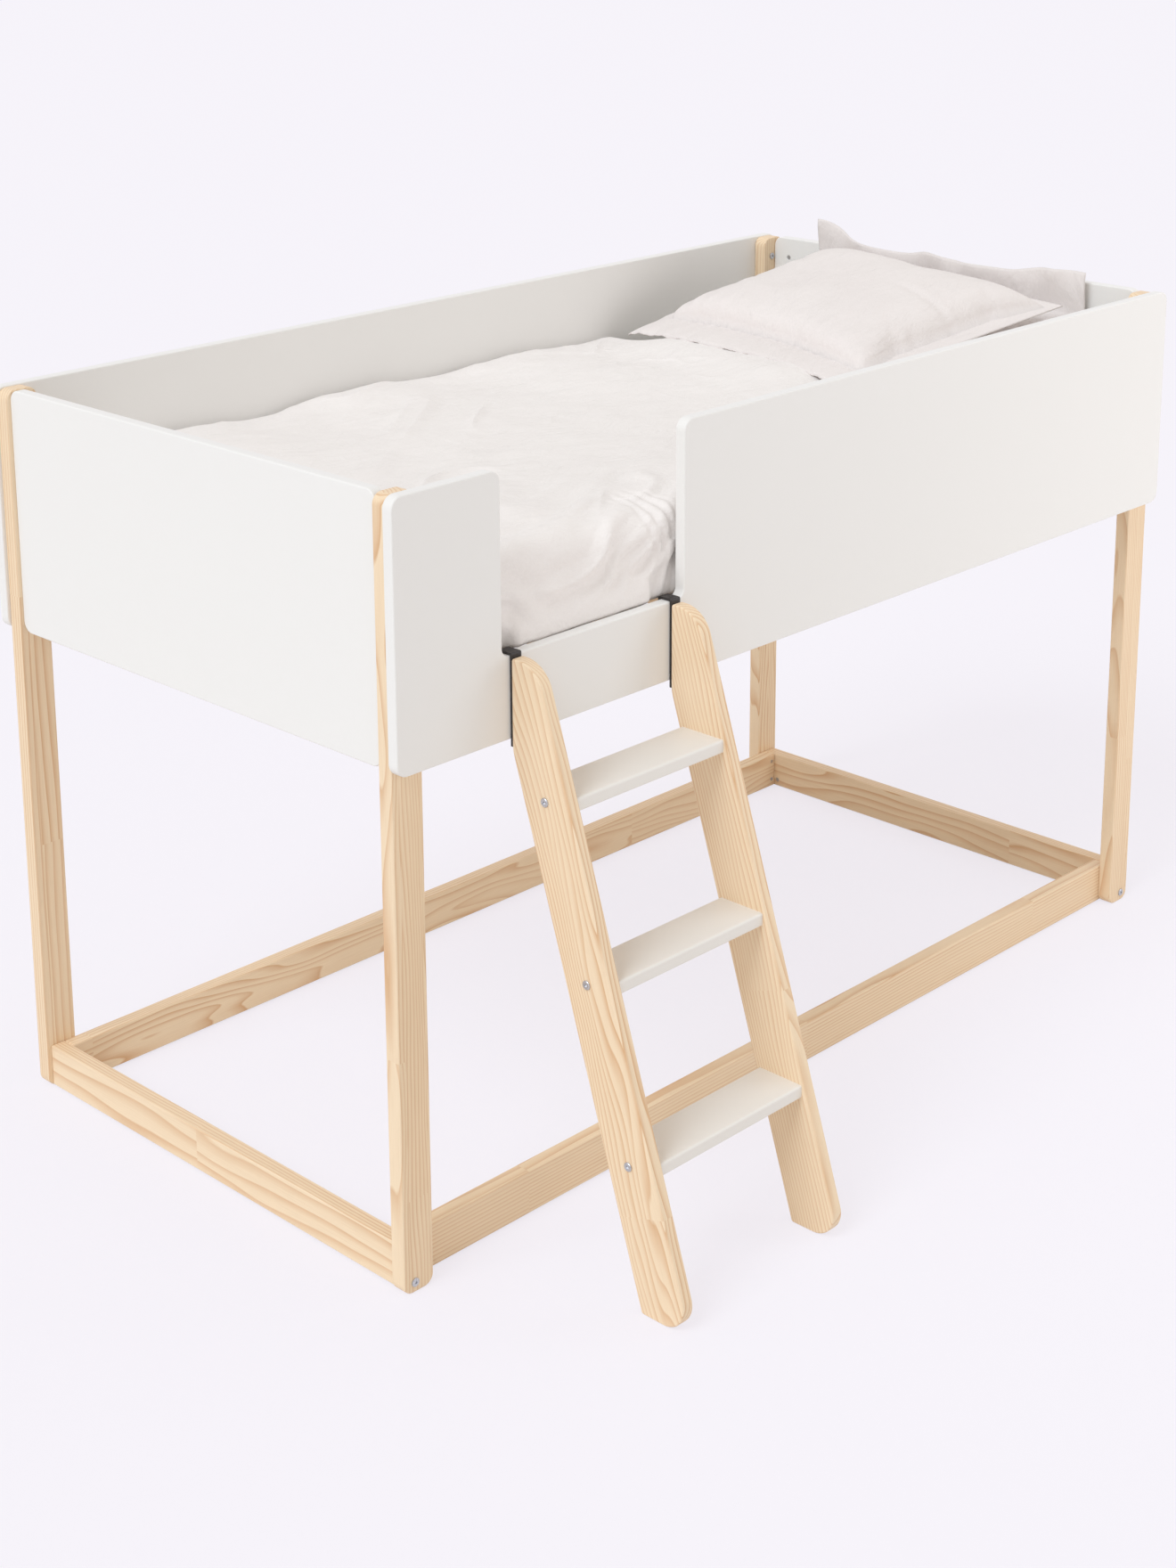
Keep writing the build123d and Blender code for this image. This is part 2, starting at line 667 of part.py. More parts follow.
def hook():
    """The left hook: a flat bar bent over the sill, with its tail down the stringer."""
    top = SILL_Z + HOOK_SEAT_GAP + HOOK_T
    inner = PANEL_T + HOOK_GAP
    points = [
        (STRINGER_BACK, SILL_Z - HOOK_TAIL),
        (STRINGER_BACK, top),
        (-inner - HOOK_T, top),
        (-inner - HOOK_T, SILL_Z - HOOK_FLANGE),
        (-inner, SILL_Z - HOOK_FLANGE),
        (-inner, top - HOOK_T),
        (HOOK_GAP, top - HOOK_T),
        (HOOK_GAP, SILL_Z - HOOK_TAIL),
    ]
    face = make_face(Polyline([Y0_out(point) for point in points], close=True))
    bends = face.vertices().filter_by_position(Axis.Y, top - 0.1, top + 0.1)
    face = fillet(bends, HOOK_BEND_R)
    side = LADDER_START + (STRINGER_T - HOOK_WIDTH) / 2
    solid = extrude(Plane.YZ.offset(X0 + side) * face, amount=HOOK_WIDTH)
    return cut(solid, hook_screw_cuts())


# Bedding

def mattress():
    low = (END_PANEL_X + MATTRESS_END_GAP, POST_IN_Y + MATTRESS_SIDE_GAP, SLAT_LEVEL + SOFT_GAP)
    high = (BED_LENGTH - low[0], BED_WIDTH - low[1], MATTRESS_TOP)
    solid = block(low, high)
    solid = fillet(solid.edges().filter_by(Axis.Z), MATTRESS_CORNER_R)
    rims = solid.faces().filter_by(Axis.Z).edges()
    return fillet(rims, MATTRESS_EDGE_R)


DUVET_START = POST_IN_X + DUVET_POST_GAP
DUVET_END = HEAD_X - DUVET_HEAD_GAP
DUVET_HEM = SLAT_LEVEL + DUVET_HEM_LIFT


def duvet_section(x):
    """The duvet's outline across the bed: front drape, shoulder, crown and back edge."""
    from_dip = x - DUVET_END + DUVET_LAST_DIP
    wave = -DUVET_FOLD * math.cos(2 * math.pi * from_dip / DUVET_FOLD_LENGTH)
    pleat = DUVET_DRAPE_FOLD * math.sin(2 * math.pi * from_dip / DUVET_DRAPE_LENGTH)
    under = MATTRESS_TOP + SOFT_GAP
    top = under + DUVET_T
    side = POST_IN_Y + MATTRESS_SIDE_GAP - SOFT_GAP
    outer = PANEL_T + DUVET_PANEL_GAP
    back = BED_WIDTH - PANEL_T - DUVET_BACK_GAP
    low_z = top - DUVET_SHOULDER_R
    turn = DUVET_SHOULDER_R * (1 - math.sqrt(0.5))
    hem = (outer + pleat / 2, DUVET_HEM)
    belly = (outer - pleat / 2, (DUVET_HEM + low_z) / 2)
    shoulder_low = (outer + pleat / 4, low_z)
    shoulder = (outer + turn, top - turn)
    shoulder_top = (outer + DUVET_SHOULDER_R, top + wave / 3)
    middle = ((outer + back) / 2, top + DUVET_CROWN + wave)
    edge_top = (back - DUVET_EDGE_R, top + wave)
    edge_turn = (back - DUVET_EDGE_R * 0.3, top + wave - DUVET_EDGE_R * 0.25)
    edge_low = (back, under + DUVET_T / 3)
    tuck = (back - DUVET_T / 3, under)
    corner = (side, under)
    inner_hem = (side, DUVET_HEM)

    def spot(p):
        return (Y0 + p[0], p[1])

    lines = [
        ThreePointArc(spot(hem), spot(belly), spot(shoulder_low)),
        ThreePointArc(spot(shoulder_low), spot(shoulder), spot(shoulder_top)),
        ThreePointArc(spot(shoulder_top), spot(middle), spot(edge_top)),
        ThreePointArc(spot(edge_top), spot(edge_turn), spot(edge_low)),
        Line(spot(edge_low), spot(tuck)),
        Line(spot(tuck), spot(corner)),
        Line(spot(corner), spot(inner_hem)),
        Line(spot(inner_hem), spot(hem)),
    ]
    return Plane.YZ.offset(X0 + x) * make_face(lines)


def duvet():
    return loft([duvet_section(x) for x in spread(DUVET_START, DUVET_END, DUVET_STATIONS)])


# Pillows: lofts across the bed, from the back side to the front side

def pillow_spot(from_head, aside, rise):
    """A place measured from the head panel, the middle line and the mattress."""
    return (HEAD_X - from_head, BED_WIDTH / 2 + aside, MATTRESS_TOP + rise)


NEAR_BACK = pillow_spot(FRONT_BACK_NEAR, FRONT_BACK_NEAR_SIDE, FRONT_BACK_NEAR_RISE)
NEAR_FRONT = pillow_spot(FRONT_NEAR, -FRONT_NEAR_SIDE, FRONT_NEAR_RISE)
FAR_BACK = pillow_spot(FRONT_FAR, FRONT_BACK_FAR_SIDE, FRONT_BACK_FAR_RISE)
FAR_FRONT = pillow_spot(FRONT_FAR, -FRONT_FAR_SIDE, FRONT_FAR_RISE)


def between(a, b, share):
    return tuple(p + (q - p) * share for p, q in zip(a, b))


def bulge(share):
    """From 0 at an edge to 1 in the middle, rising fast as stuffed cloth does."""
    return math.sin(math.pi * share) ** 0.6 if 0 < share < 1 else 0.0


def front_section(share):
    """The front pillow's outline from its near seam to its far seam."""
    near = between(NEAR_BACK, NEAR_FRONT, share)
    far = between(FAR_BACK, FAR_FRONT, share)
    pull = FRONT_DRAW_IN * math.sin(math.pi * share)
    start = Vector(X0 + near[0] + pull, Y0 + near[1], near[2])
    along = Vector(X0 + far[0] - pull, Y0 + far[1], far[2]) - start
    length = along.length
    plane = Plane(origin=start, x_dir=along, z_dir=along.cross(Vector(0, 0, 1)))
    half = PILLOW_SEAM / 2
    crown = half + PILLOW_LIP + FRONT_CROWN * bulge(share)
    belly = half + PILLOW_LIP + FRONT_BELLY * bulge(share)
    lines = [
        ThreePointArc((0, half), (length / 2, crown), (length, half)),
        Line((length, half), (length, -half)),
        ThreePointArc((length, -half), (length / 2, -belly), (0, -half)),
        Line((0, -half), (0, half)),
    ]
    return plane * make_face(lines)


def pillow_front():
    shares = [(1 - math.cos(math.pi * s)) / 2 for s in spread(0, 1, PILLOW_STATIONS)]
    return loft([front_section(share) for share in shares])


def seam_height(x, y):
    """Height of the front pillow's seam plane, on or beyond the pillow."""
    share = (NEAR_BACK[1] - y) / (NEAR_BACK[1] - NEAR_FRONT[1])
    near = between(NEAR_BACK, NEAR_FRONT, share)
    far = between(FAR_BACK, FAR_FRONT, share)
    return near[2] + (far[2] - near[2]) * (x - near[0]) / (far[0] - near[0])


def back_section(share):
    """The back pillow lies under the front one, and its far edge turns up at the head."""
    y = BED_WIDTH / 2 + BACK_BACK_SIDE - (BACK_BACK_SIDE + BACK_FRONT_SIDE) * share
    low = MATTRESS_TOP + SOFT_GAP
    heel = HEAD_X - BACK_HEEL_GAP
    toe = HEAD_X - BACK_TOE + BACK_TOE_DRAW_IN * (1 - bulge(share))
    knee = HEAD_X - BACK_KNEE
    mid = (toe + knee) / 2
    knee_z = seam_height(knee, y) - BACK_UNDER
    mid_z = seam_height(mid, y) - BACK_SAG - BACK_EDGE_SAG * (1 - bulge(share))
    dip = BACK_TIP_DIP * math.sin(math.pi * share) ** 2
    fold = BACK_TIP_FOLD * math.exp(-((share - 0.4) / 0.12) ** 2)
    rise = BACK_TIP_RISE + (BACK_FRONT_TIP_RISE - BACK_TIP_RISE) * share
    tip_z = MATTRESS_TOP + rise - dip + fold
    tip_x = heel - BACK_TIP_T
    lean = (tip_x - BACK_TIP_LEAN, (knee_z + tip_z) / 2 - BACK_TIP_LEAN)

    def spot(p):
        return (X0 + p[0], p[1])

    lines = [
        Line(spot((toe, low)), spot((toe, low + PILLOW_SEAM))),
        ThreePointArc(spot((toe, low + PILLOW_SEAM)), spot((mid, mid_z)), spot((knee, knee_z))),
        ThreePointArc(spot((knee, knee_z)), spot(lean), spot((tip_x, tip_z))),
        Line(spot((tip_x, tip_z)), spot((heel, tip_z))),
        Line(spot((heel, tip_z)), spot((heel, low))),
        Line(spot((heel, low)), spot((toe, low))),
    ]
    return Plane.XZ.offset(-(Y0 + y)) * make_face(lines)


def pillow_back():
    return loft([back_section(share) for share in spread(0, 1, PILLOW_STATIONS)])


def frame_nodes():
    corner_post = post()
    foot_panel = end_panel()
    foot_rail = end_rail()
    front_rail = side_rail()
    front_cleat = side_cleat()
    foot_cleat = end_cleat()
    return {
        "post_front_foot": corner_post,
        "post_front_head": to_head(corner_post),
        "post_back_foot": to_back(corner_post),
        "post_back_head": to_head(to_back(corner_post)),
        "front_panel": side_panel(True),
        "back_panel": to_back(side_panel(False)),
        "foot_panel": foot_panel,
        "head_panel": to_head(foot_panel),
        "foot_rail": foot_rail,
        "head_rail": to_head(foot_rail),
        "front_rail": front_rail,
        "back_rail": to_back(front_rail),
        "front_cleat": front_cleat,
        "back_cleat": to_back(front_cleat),
        "foot_cleat": foot_cleat,
        "head_cleat": to_head(foot_cleat),
    }


def slat_nodes():
    return {f"slat_{i + 1:02d}": slat(x) for i, x in enumerate(slat_places())}


def hardware_nodes():
    def corners(makers):
        return joined_group([copy for solid in makers for copy in at_corners(solid)])

    cleats = cleat_screws()
    cleats += [to_back(item) for item in cleats]
    ends = end_cleat_screws()
    ends += [to_head(item) for item in ends]
    return {
        "frame_bolts": corners([frame_bolt()]),
        "frame_barrel_nuts": corners([frame_barrel_nut_bored()]),
        "frame_dowels": corners([frame_dowel()]),
        "rail_screws": corners([rail_screw(z) for z in RAIL_SCREW_Z]),
        "end_panel_bolts": corners([end_panel_bolt(z) for z in PANEL_FIXING_Z]),
        "end_panel_barrel_nuts": corners([panel_barrel_nut_bored(z) for z in PANEL_FIXING_Z]),
        "side_panel_bolts": corners([side_panel_bolt(z) for z in PANEL_FIXING_Z]),
        "side_panel_inserts": corners([side_panel_insert(z) for z in PANEL_FIXING_Z]),
        "cleat_screws": joined_group(cleats + ends),
        "slat_screws": joined_group([s for x in slat_places() for s in slat_screws(x)]),
    }


def frame_barrel_nut_bored():
    return frame_barrel_nut() - frame_bolt_hole()


def panel_barrel_nut_bored(z):
    return end_panel_barrel_nut(z) - end_panel_bolt_hole(z)


def ladder_nodes():
    left = stringer()
    left_hook = hook()
    bolts = [step_bolt(top) for top in STEP_TOPS]
    nuts = [step_barrel_nut(top) - step_bolt_hole(top) for top in STEP_TOPS]
    dowels = [dowel for top in STEP_TOPS for dowel in step_dowels(top)]
    screws = hook_screws()

    def both(items):
        return joined_group(items + [to_right(item) for item in items])

    nodes = {
        "ladder_stringer_left": left,
        "ladder_stringer_right": to_right(left),
        "ladder_hook_left": left_hook,
        "ladder_hook_right": to_right(left_hook),
        "ladder_step_bolts": both(bolts),
        "ladder_step_barrel_nuts": both(nuts),
        "ladder_step_dowels": both(dowels),
        "ladder_hook_screws": both(screws),
    }
    for i, top in enumerate(STEP_TOPS):
        nodes[f"ladder_step_{i + 1}"] = step(top)
    return nodes


def bedding_nodes():
    return {
        "mattress": mattress(),
        "duvet": duvet(),
        "pillow_front": pillow_front(),
        "pillow_back": pillow_back(),
    }


def build():
    nodes = {}
    for group in (frame_nodes(), slat_nodes(), hardware_nodes(), ladder_nodes(), bedding_nodes()):
        nodes.update(group)
    return nodes


os.makedirs("parts", exist_ok=True)
for name, solid in build().items():
    export_step(solid, f"parts/{name}.step")
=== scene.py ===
import math

import bpy
import numpy as np
from mathutils import Matrix, Vector

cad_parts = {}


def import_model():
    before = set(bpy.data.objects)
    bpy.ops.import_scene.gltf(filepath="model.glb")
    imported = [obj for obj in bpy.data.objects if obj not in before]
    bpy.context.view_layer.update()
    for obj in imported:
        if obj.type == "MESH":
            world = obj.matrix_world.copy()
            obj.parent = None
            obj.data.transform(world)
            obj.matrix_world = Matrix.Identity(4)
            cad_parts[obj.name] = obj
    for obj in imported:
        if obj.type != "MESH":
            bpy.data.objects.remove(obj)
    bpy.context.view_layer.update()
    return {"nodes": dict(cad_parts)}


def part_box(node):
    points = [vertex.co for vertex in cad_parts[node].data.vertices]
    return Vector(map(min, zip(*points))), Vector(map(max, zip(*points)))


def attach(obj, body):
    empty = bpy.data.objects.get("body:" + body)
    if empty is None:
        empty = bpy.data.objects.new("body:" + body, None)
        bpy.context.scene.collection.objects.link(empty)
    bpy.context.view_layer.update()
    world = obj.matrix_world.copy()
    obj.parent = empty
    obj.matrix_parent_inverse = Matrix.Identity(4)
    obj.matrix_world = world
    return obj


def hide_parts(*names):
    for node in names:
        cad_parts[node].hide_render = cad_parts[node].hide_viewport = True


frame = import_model()
nodes = frame["nodes"]


# Named places of the bed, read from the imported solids

def low(node):
    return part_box(node)[0]


def high(node):
    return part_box(node)[1]


FOOT = low("front_panel").x
FRONT = low("front_panel").y
MATTRESS_LOW = low("mattress")
MATTRESS_HIGH = high("mattress")
MATTRESS_TOP = MATTRESS_HIGH.z


def bed(x, y, z):
    """Millimetres from the foot end, the front face and the floor, to a place in the frame."""
    return Vector((FOOT + x / 1000, FRONT + y / 1000, z / 1000))


# Smooth noise on arrays, the same on every run

def lattice(ix, iy, iz, seed):
    mixed = (ix * 374761393 + iy * 668265263 + iz * 2147483647 + seed * 1274126177) & 0xFFFFFFFF
    mixed = ((mixed ^ (mixed >> 13)) * 1274126177) & 0xFFFFFFFF
    return ((mixed ^ (mixed >> 16)) & 0xFFFF) / 32767.5 - 1.0


def smooth_noise(x, y, z=0.0, seed=0):
    """Value noise from -1 to 1 with a pitch of one unit."""
    x, y, z = np.broadcast_arrays(np.asarray(x, float), np.asarray(y, float), np.asarray(z, float))
    ix, iy, iz = (np.floor(v).astype(np.int64) for v in (x, y, z))
    fx, fy, fz = x - ix, y - iy, z - iz
    fx, fy, fz = (f * f * f * (f * (f * 6 - 15) + 10) for f in (fx, fy, fz))
    total = np.zeros(x.shape)
    for dx in (0, 1):
        for dy in (0, 1):
            for dz in (0, 1):
                weight = (fx if dx else 1 - fx) * (fy if dy else 1 - fy) * (fz if dz else 1 - fz)
                total += weight * lattice(ix + dx, iy + dy, iz + dz, seed)
    return total


def layered(x, y, octaves=3, seed=0):
    total, scale, height = 0.0, 1.0, 1.0
    for i in range(octaves):
        total = total + height * smooth_noise(x * scale, y * scale, seed * 0.37, seed + i * 17)
        scale *= 2.03
        height *= 0.5
    return total


def ridged(x, y, seed=0, sharp=2.0):
    """Narrow crests with broad hollows, from 0 to 1."""
    return (1 - np.abs(smooth_noise(x, y, seed * 0.61, seed))) ** sharp


def smoothstep(a, b, x):
    t = np.clip((x - a) / (b - a), 0, 1)
    return t * t * (3 - 2 * t)


# Meshes

def mesh_object(name, points, faces, smooth=True):
    mesh = bpy.data.meshes.new(name)
    mesh.from_pydata([tuple(p) for p in points], [], [tuple(f) for f in faces])
    mesh.update()
    if smooth:
        mesh.polygons.foreach_set("use_smooth", [True] * len(mesh.polygons))
    obj = bpy.data.objects.new(name, mesh)
    bpy.context.scene.collection.objects.link(obj)
    return obj


def grid_faces(rows, columns, start=0, flip=False, wrap=False):
    """Quads of a rows x columns grid of points, wrapped round its columns if asked."""
    last = columns if wrap else columns - 1
    i, j = np.meshgrid(np.arange(rows - 1), np.arange(last), indexing="ij")
    a = i * columns + j
    b = i * columns + (j + 1) % columns
    quads = np.stack([a, b, b + columns, a + columns], -1).reshape(-1, 4) + start
    return quads[:, ::-1] if flip else quads


# Materials

def new_material(name):
    material = bpy.data.materials.new(name)
    material.use_nodes = True
    tree = material.node_tree
    tree.nodes.clear()
    out = tree.nodes.new("ShaderNodeOutputMaterial")
    shader = tree.nodes.new("ShaderNodeBsdfPrincipled")
    tree.links.new(shader.outputs[0], out.inputs[0])
    return material, tree, shader


def srgb(red, green, blue):
    """A colour written as 0 to 255, as linear light."""
    def one(c):
        c /= 255
        return c / 12.92 if c <= 0.04045 else ((c + 0.055) / 1.055) ** 2.4
    return (one(red), one(green), one(blue), 1.0)


class Tree:
    """Short calls for building node trees."""

    def __init__(self, tree):
        self.tree = tree

    def link(self, value, socket):
        if hasattr(value, "is_linked") or hasattr(value, "links"):
            self.tree.links.new(value, socket)
        else:
            socket.default_value = value

    def node(self, kind, **values):
        made = self.tree.nodes.new(kind)
        for key, value in values.items():
            setattr(made, key, value)
        return made

    def position(self):
        return self.node("ShaderNodeTexCoord").outputs["Object"]

    def mapping(self, vector, scale=(1, 1, 1), place=(0, 0, 0), turn=(0, 0, 0)):
        made = self.node("ShaderNodeMapping")
        self.link(vector, made.inputs["Vector"])
        made.inputs["Scale"].default_value = scale
        made.inputs["Location"].default_value = place
        made.inputs["Rotation"].default_value = turn
        return made.outputs[0]

    def combine(self, *parts):
        made = self.node("ShaderNodeCombineXYZ")
        for part, socket in zip(parts, made.inputs):
            self.link(part, socket)
        return made.outputs[0]

    def noise(self, vector, scale, detail=2.0, rough=0.5, color=False):
        made = self.node("ShaderNodeTexNoise")
        self.link(vector, made.inputs["Vector"])
        made.inputs["Scale"].default_value = scale
        made.inputs["Detail"].default_value = detail
        made.inputs["Roughness"].default_value = rough
        return made.outputs["Color" if color else "Fac"]

    def math(self, operation, a, b=0.0, c=None):
        made = self.node("ShaderNodeMath", operation=operation)
        self.link(a, made.inputs[0])
        self.link(b, made.inputs[1])
        if c is not None:
            self.link(c, made.inputs[2])
        return made.outputs[0]

    def vector(self, operation, a, b):
        made = self.node("ShaderNodeVectorMath", operation=operation)
        self.link(a, made.inputs[0])
        self.link(b, made.inputs[3 if operation == "SCALE" else 1])
        return made.outputs[0]

    def ramp(self, value, stops):
        made = self.node("ShaderNodeValToRGB")
        self.link(value, made.inputs[0])
        elements = made.color_ramp.elements
        while len(elements) > 1:
            elements.remove(elements[-1])
        elements[0].position, elements[0].color = stops[0][0], stops[0][1]
        for place, color in stops[1:]:
            made_stop = elements.new(place)
            made_stop.color = color
        return made.outputs[0]

    def mix(self, kind, factor, a, b):
        made = self.node("ShaderNodeMix", data_type="RGBA", blend_type=kind)
        self.link(factor, made.inputs[0])
        self.link(a, made.inputs[6])
        self.link(b, made.inputs[7])
        return made.outputs[2]

    def bump(self, height, strength, distance, normal=None):
        made = self.node("ShaderNodeBump")
        self.link(height, made.inputs["Height"])
        made.inputs["Strength"].default_value = strength
        made.inputs["Distance"].default_value = distance
        if normal is not None:
            self.link(normal, made.inputs["Normal"])
        return made.outputs[0]


AXES = {"X": (0, 1, 2), "Y": (1, 2, 0), "Z": (2, 0, 1)}
GRAIN_LIGHT = srgb(250, 232, 205)
GRAIN_MID = srgb(244, 219, 186)
GRAIN_DARK = srgb(216, 168, 118)


RING_PITCH = 0.0062
KNOT_COLOR = srgb(150, 104, 66)


def stave_number(t, rng, length, wide, stave):
    """A number for each stave, which moves its rings and shifts its tone."""
    row = t.math("FLOOR", t.math("DIVIDE", t.math("ADD", wide, rng.uniform(0, 1)), stave[1]))
    shifted = t.math("ADD", length, t.math("MULTIPLY", row, 0.237 * stave[0] + rng.uniform(0, 1)))
    column = t.math("FLOOR", t.math("DIVIDE", shifted, stave[0]))
    number = t.node("ShaderNodeTexWhiteNoise", noise_dimensions="2D")
    t.link(t.combine(row, column), number.inputs["Vector"])
    return number.outputs["Value"]


def growth_rings(t, rng, parts, draw, heart):
    """Late-wood rings round a heart line beside the board, which wanders slowly along it."""
    length, wide, thick = parts
    slow = t.combine(t.math("MULTIPLY", length, 1.6), t.math("MULTIPLY", wide, 9.0),
                     t.math("ADD", t.math("MULTIPLY", thick, 9.0),
                            t.math("MULTIPLY", draw, 37.0)))
    wander = t.noise(slow, 1.0, detail=2.0, rough=0.45)
    offset_a = t.math("MULTIPLY_ADD", draw, 0.10, heart[0] + rng.uniform(-0.02, 0.02))
    offset_b = t.math("MULTIPLY_ADD", draw, -0.05, heart[1] + rng.uniform(-0.02, 0.02))
    drift = t.math("MULTIPLY", t.math("SUBTRACT", wander, 0.5), 0.075)
    a = t.math("ADD", t.math("ADD", wide, offset_a), drift)
    b = t.math("ADD", t.math("ADD", thick, offset_b), t.math("MULTIPLY", drift, 0.6))
    radius = t.math("SQRT", t.math("ADD", t.math("MULTIPLY", a, a), t.math("MULTIPLY", b, b)))
    ring = t.math("FRACT", t.math("MULTIPLY", radius, 1 / RING_PITCH))
    grain = t.ramp(ring, [(place, (level, level, level, 1)) for place, level in (
        (0.0, 0.0), (0.45, 0.10), (0.80, 0.55), (0.93, 0.85), (1.0, 0.0))])
    fade = t.noise(t.mapping(slow, scale=(1.2, 2.0, 2.0)), 1.0, detail=1.0)
    return t.math("MULTIPLY", grain, t.math("MULTIPLY_ADD", fade, 1.0, 0.22))


def knots(t, rng, parts):
    """1 inside a few small knots."""
    length, wide, thick = parts
    place = t.combine(t.math("MULTIPLY", length, 1.7), t.math("MULTIPLY", wide, 3.2),
                      t.math("MULTIPLY", thick, 3.2))
    spots = t.node("ShaderNodeTexVoronoi", feature="F1")
    t.link(t.mapping(place, place=tuple(rng.uniform(0, 9, 3))), spots.inputs["Vector"])
    spots.inputs["Scale"].default_value = 1.0
    return t.ramp(spots.outputs["Distance"], [(0.008, (1, 1, 1, 1)), (0.030, (0, 0, 0, 1))])


def pine(name, along, seed, stave, heart=(0.09, 0.05), lean=0.0):
    """Clear-lacquered pine in glued staves, given by their length and width.
    lean turns the grain about X, for the sloping ladder."""
    material, tree, shader = new_material(name)
    t = Tree(tree)
    rng = np.random.RandomState(seed)
    position = t.position()
    if lean:
        position = t.mapping(position, turn=(lean, 0, 0))
    split = t.node("ShaderNodeSeparateXYZ")
    t.link(position, split.inputs[0])
    parts = [split.outputs[i] for i in AXES[along]]
    length, wide, thick = parts
    draw = stave_number(t, rng, length, wide, stave)
    grain = growth_rings(t, rng, parts, draw, heart)
    fibre = t.combine(t.math("MULTIPLY", length, 14.0), t.math("MULTIPLY", wide, 700.0),
                      t.math("MULTIPLY", thick, 700.0))
    fine = t.noise(fibre, 1.0, detail=3.0, rough=0.6)

    color = t.mix("MIX", grain, GRAIN_LIGHT, GRAIN_DARK)
    color = t.mix("MULTIPLY", 0.22, color, t.mix("MIX", draw, GRAIN_MID, GRAIN_LIGHT))
    streak = t.ramp(fine, [(0.3, (0.90, 0.87, 0.83, 1)), (0.62, (1, 1, 1, 1))])
    color = t.mix("MULTIPLY", 0.55, color, streak)
    color = t.mix("MIX", t.math("MULTIPLY", knots(t, rng, parts), 0.8), color, KNOT_COLOR)
    t.link(color, shader.inputs["Base Color"])
    t.link(t.math("MULTIPLY_ADD", grain, -0.08, 0.50), shader.inputs["Roughness"])
    shader.inputs["Specular IOR Level"].default_value = 0.35
    height = t.math("ADD", t.math("MULTIPLY", grain, 0.5), t.math("MULTIPLY", fine, 0.5))
    t.link(t.bump(height, 0.25, 0.0004), shader.inputs["Normal"])
    return material


def white_board(name, color=srgb(243, 242, 240)):
    """Satin white lacquer with a faint spray texture."""
    material, tree, shader = new_material(name)
    t = Tree(tree)
    position = t.position()
    tint = t.noise(position, 3.0, detail=2.0)
    low_tone = tuple(c * 0.985 for c in color[:3]) + (1.0,)
    t.link(t.mix("MIX", tint, color, low_tone), shader.inputs["Base Color"])
    peel = t.noise(position, 900.0, detail=1.0)
    t.link(t.math("MULTIPLY_ADD", t.noise(position, 40.0), 0.10, 0.36), shader.inputs["Roughness"])
    shader.inputs["Specular IOR Level"].default_value = 0.4
    t.link(t.bump(peel, 0.05, 0.0003), shader.inputs["Normal"])
    return material


def metal(name, speck, detail, dark, light, rough, pits):
    """Plated or powder-coated steel: speck and pits are the sizes of its mottle and its bump."""
    material, tree, shader = new_material(name)
    t = Tree(tree)
    position = t.position()
    shade = t.noise(position, speck, detail=detail)
    t.link(t.ramp(shade, [(0.3, dark), (0.7, light)]), shader.inputs["Base Color"])
    t.link(t.math("MULTIPLY_ADD", shade, *rough), shader.inputs["Roughness"])
    pit_scale, pit_strength, pit_depth = pits
    t.link(t.bump(t.noise(position, pit_scale), pit_strength, pit_depth), shader.inputs["Normal"])
    return material, shader


def zinc(name):
    material, shader = metal(name, 400.0, 3.0, srgb(176, 178, 182), srgb(214, 215, 217),
                             (0.2, 0.25), (2500.0, 0.1, 0.0002))
    shader.inputs["Metallic"].default_value = 1.0
    return material


def black_steel(name):
    return metal(name, 300.0, 2.0, srgb(38, 35, 34), srgb(58, 54, 52),
                 (0.15, 0.42), (1500.0, 0.2, 0.0003))[0]


def dowel_wood(name):
    material, tree, shader = new_material(name)
    t = Tree(tree)
    shade = t.noise(t.mapping(t.position(), scale=(300, 300, 300)), 1.0, detail=3.0)
    t.link(t.ramp(shade, [(0.3, srgb(214, 180, 140)), (0.7, srgb(232, 203, 166))]),
           shader.inputs["Base Color"])
    shader.inputs["Roughness"].default_value = 0.6
    return material


THREAD_PITCH = 0.00042


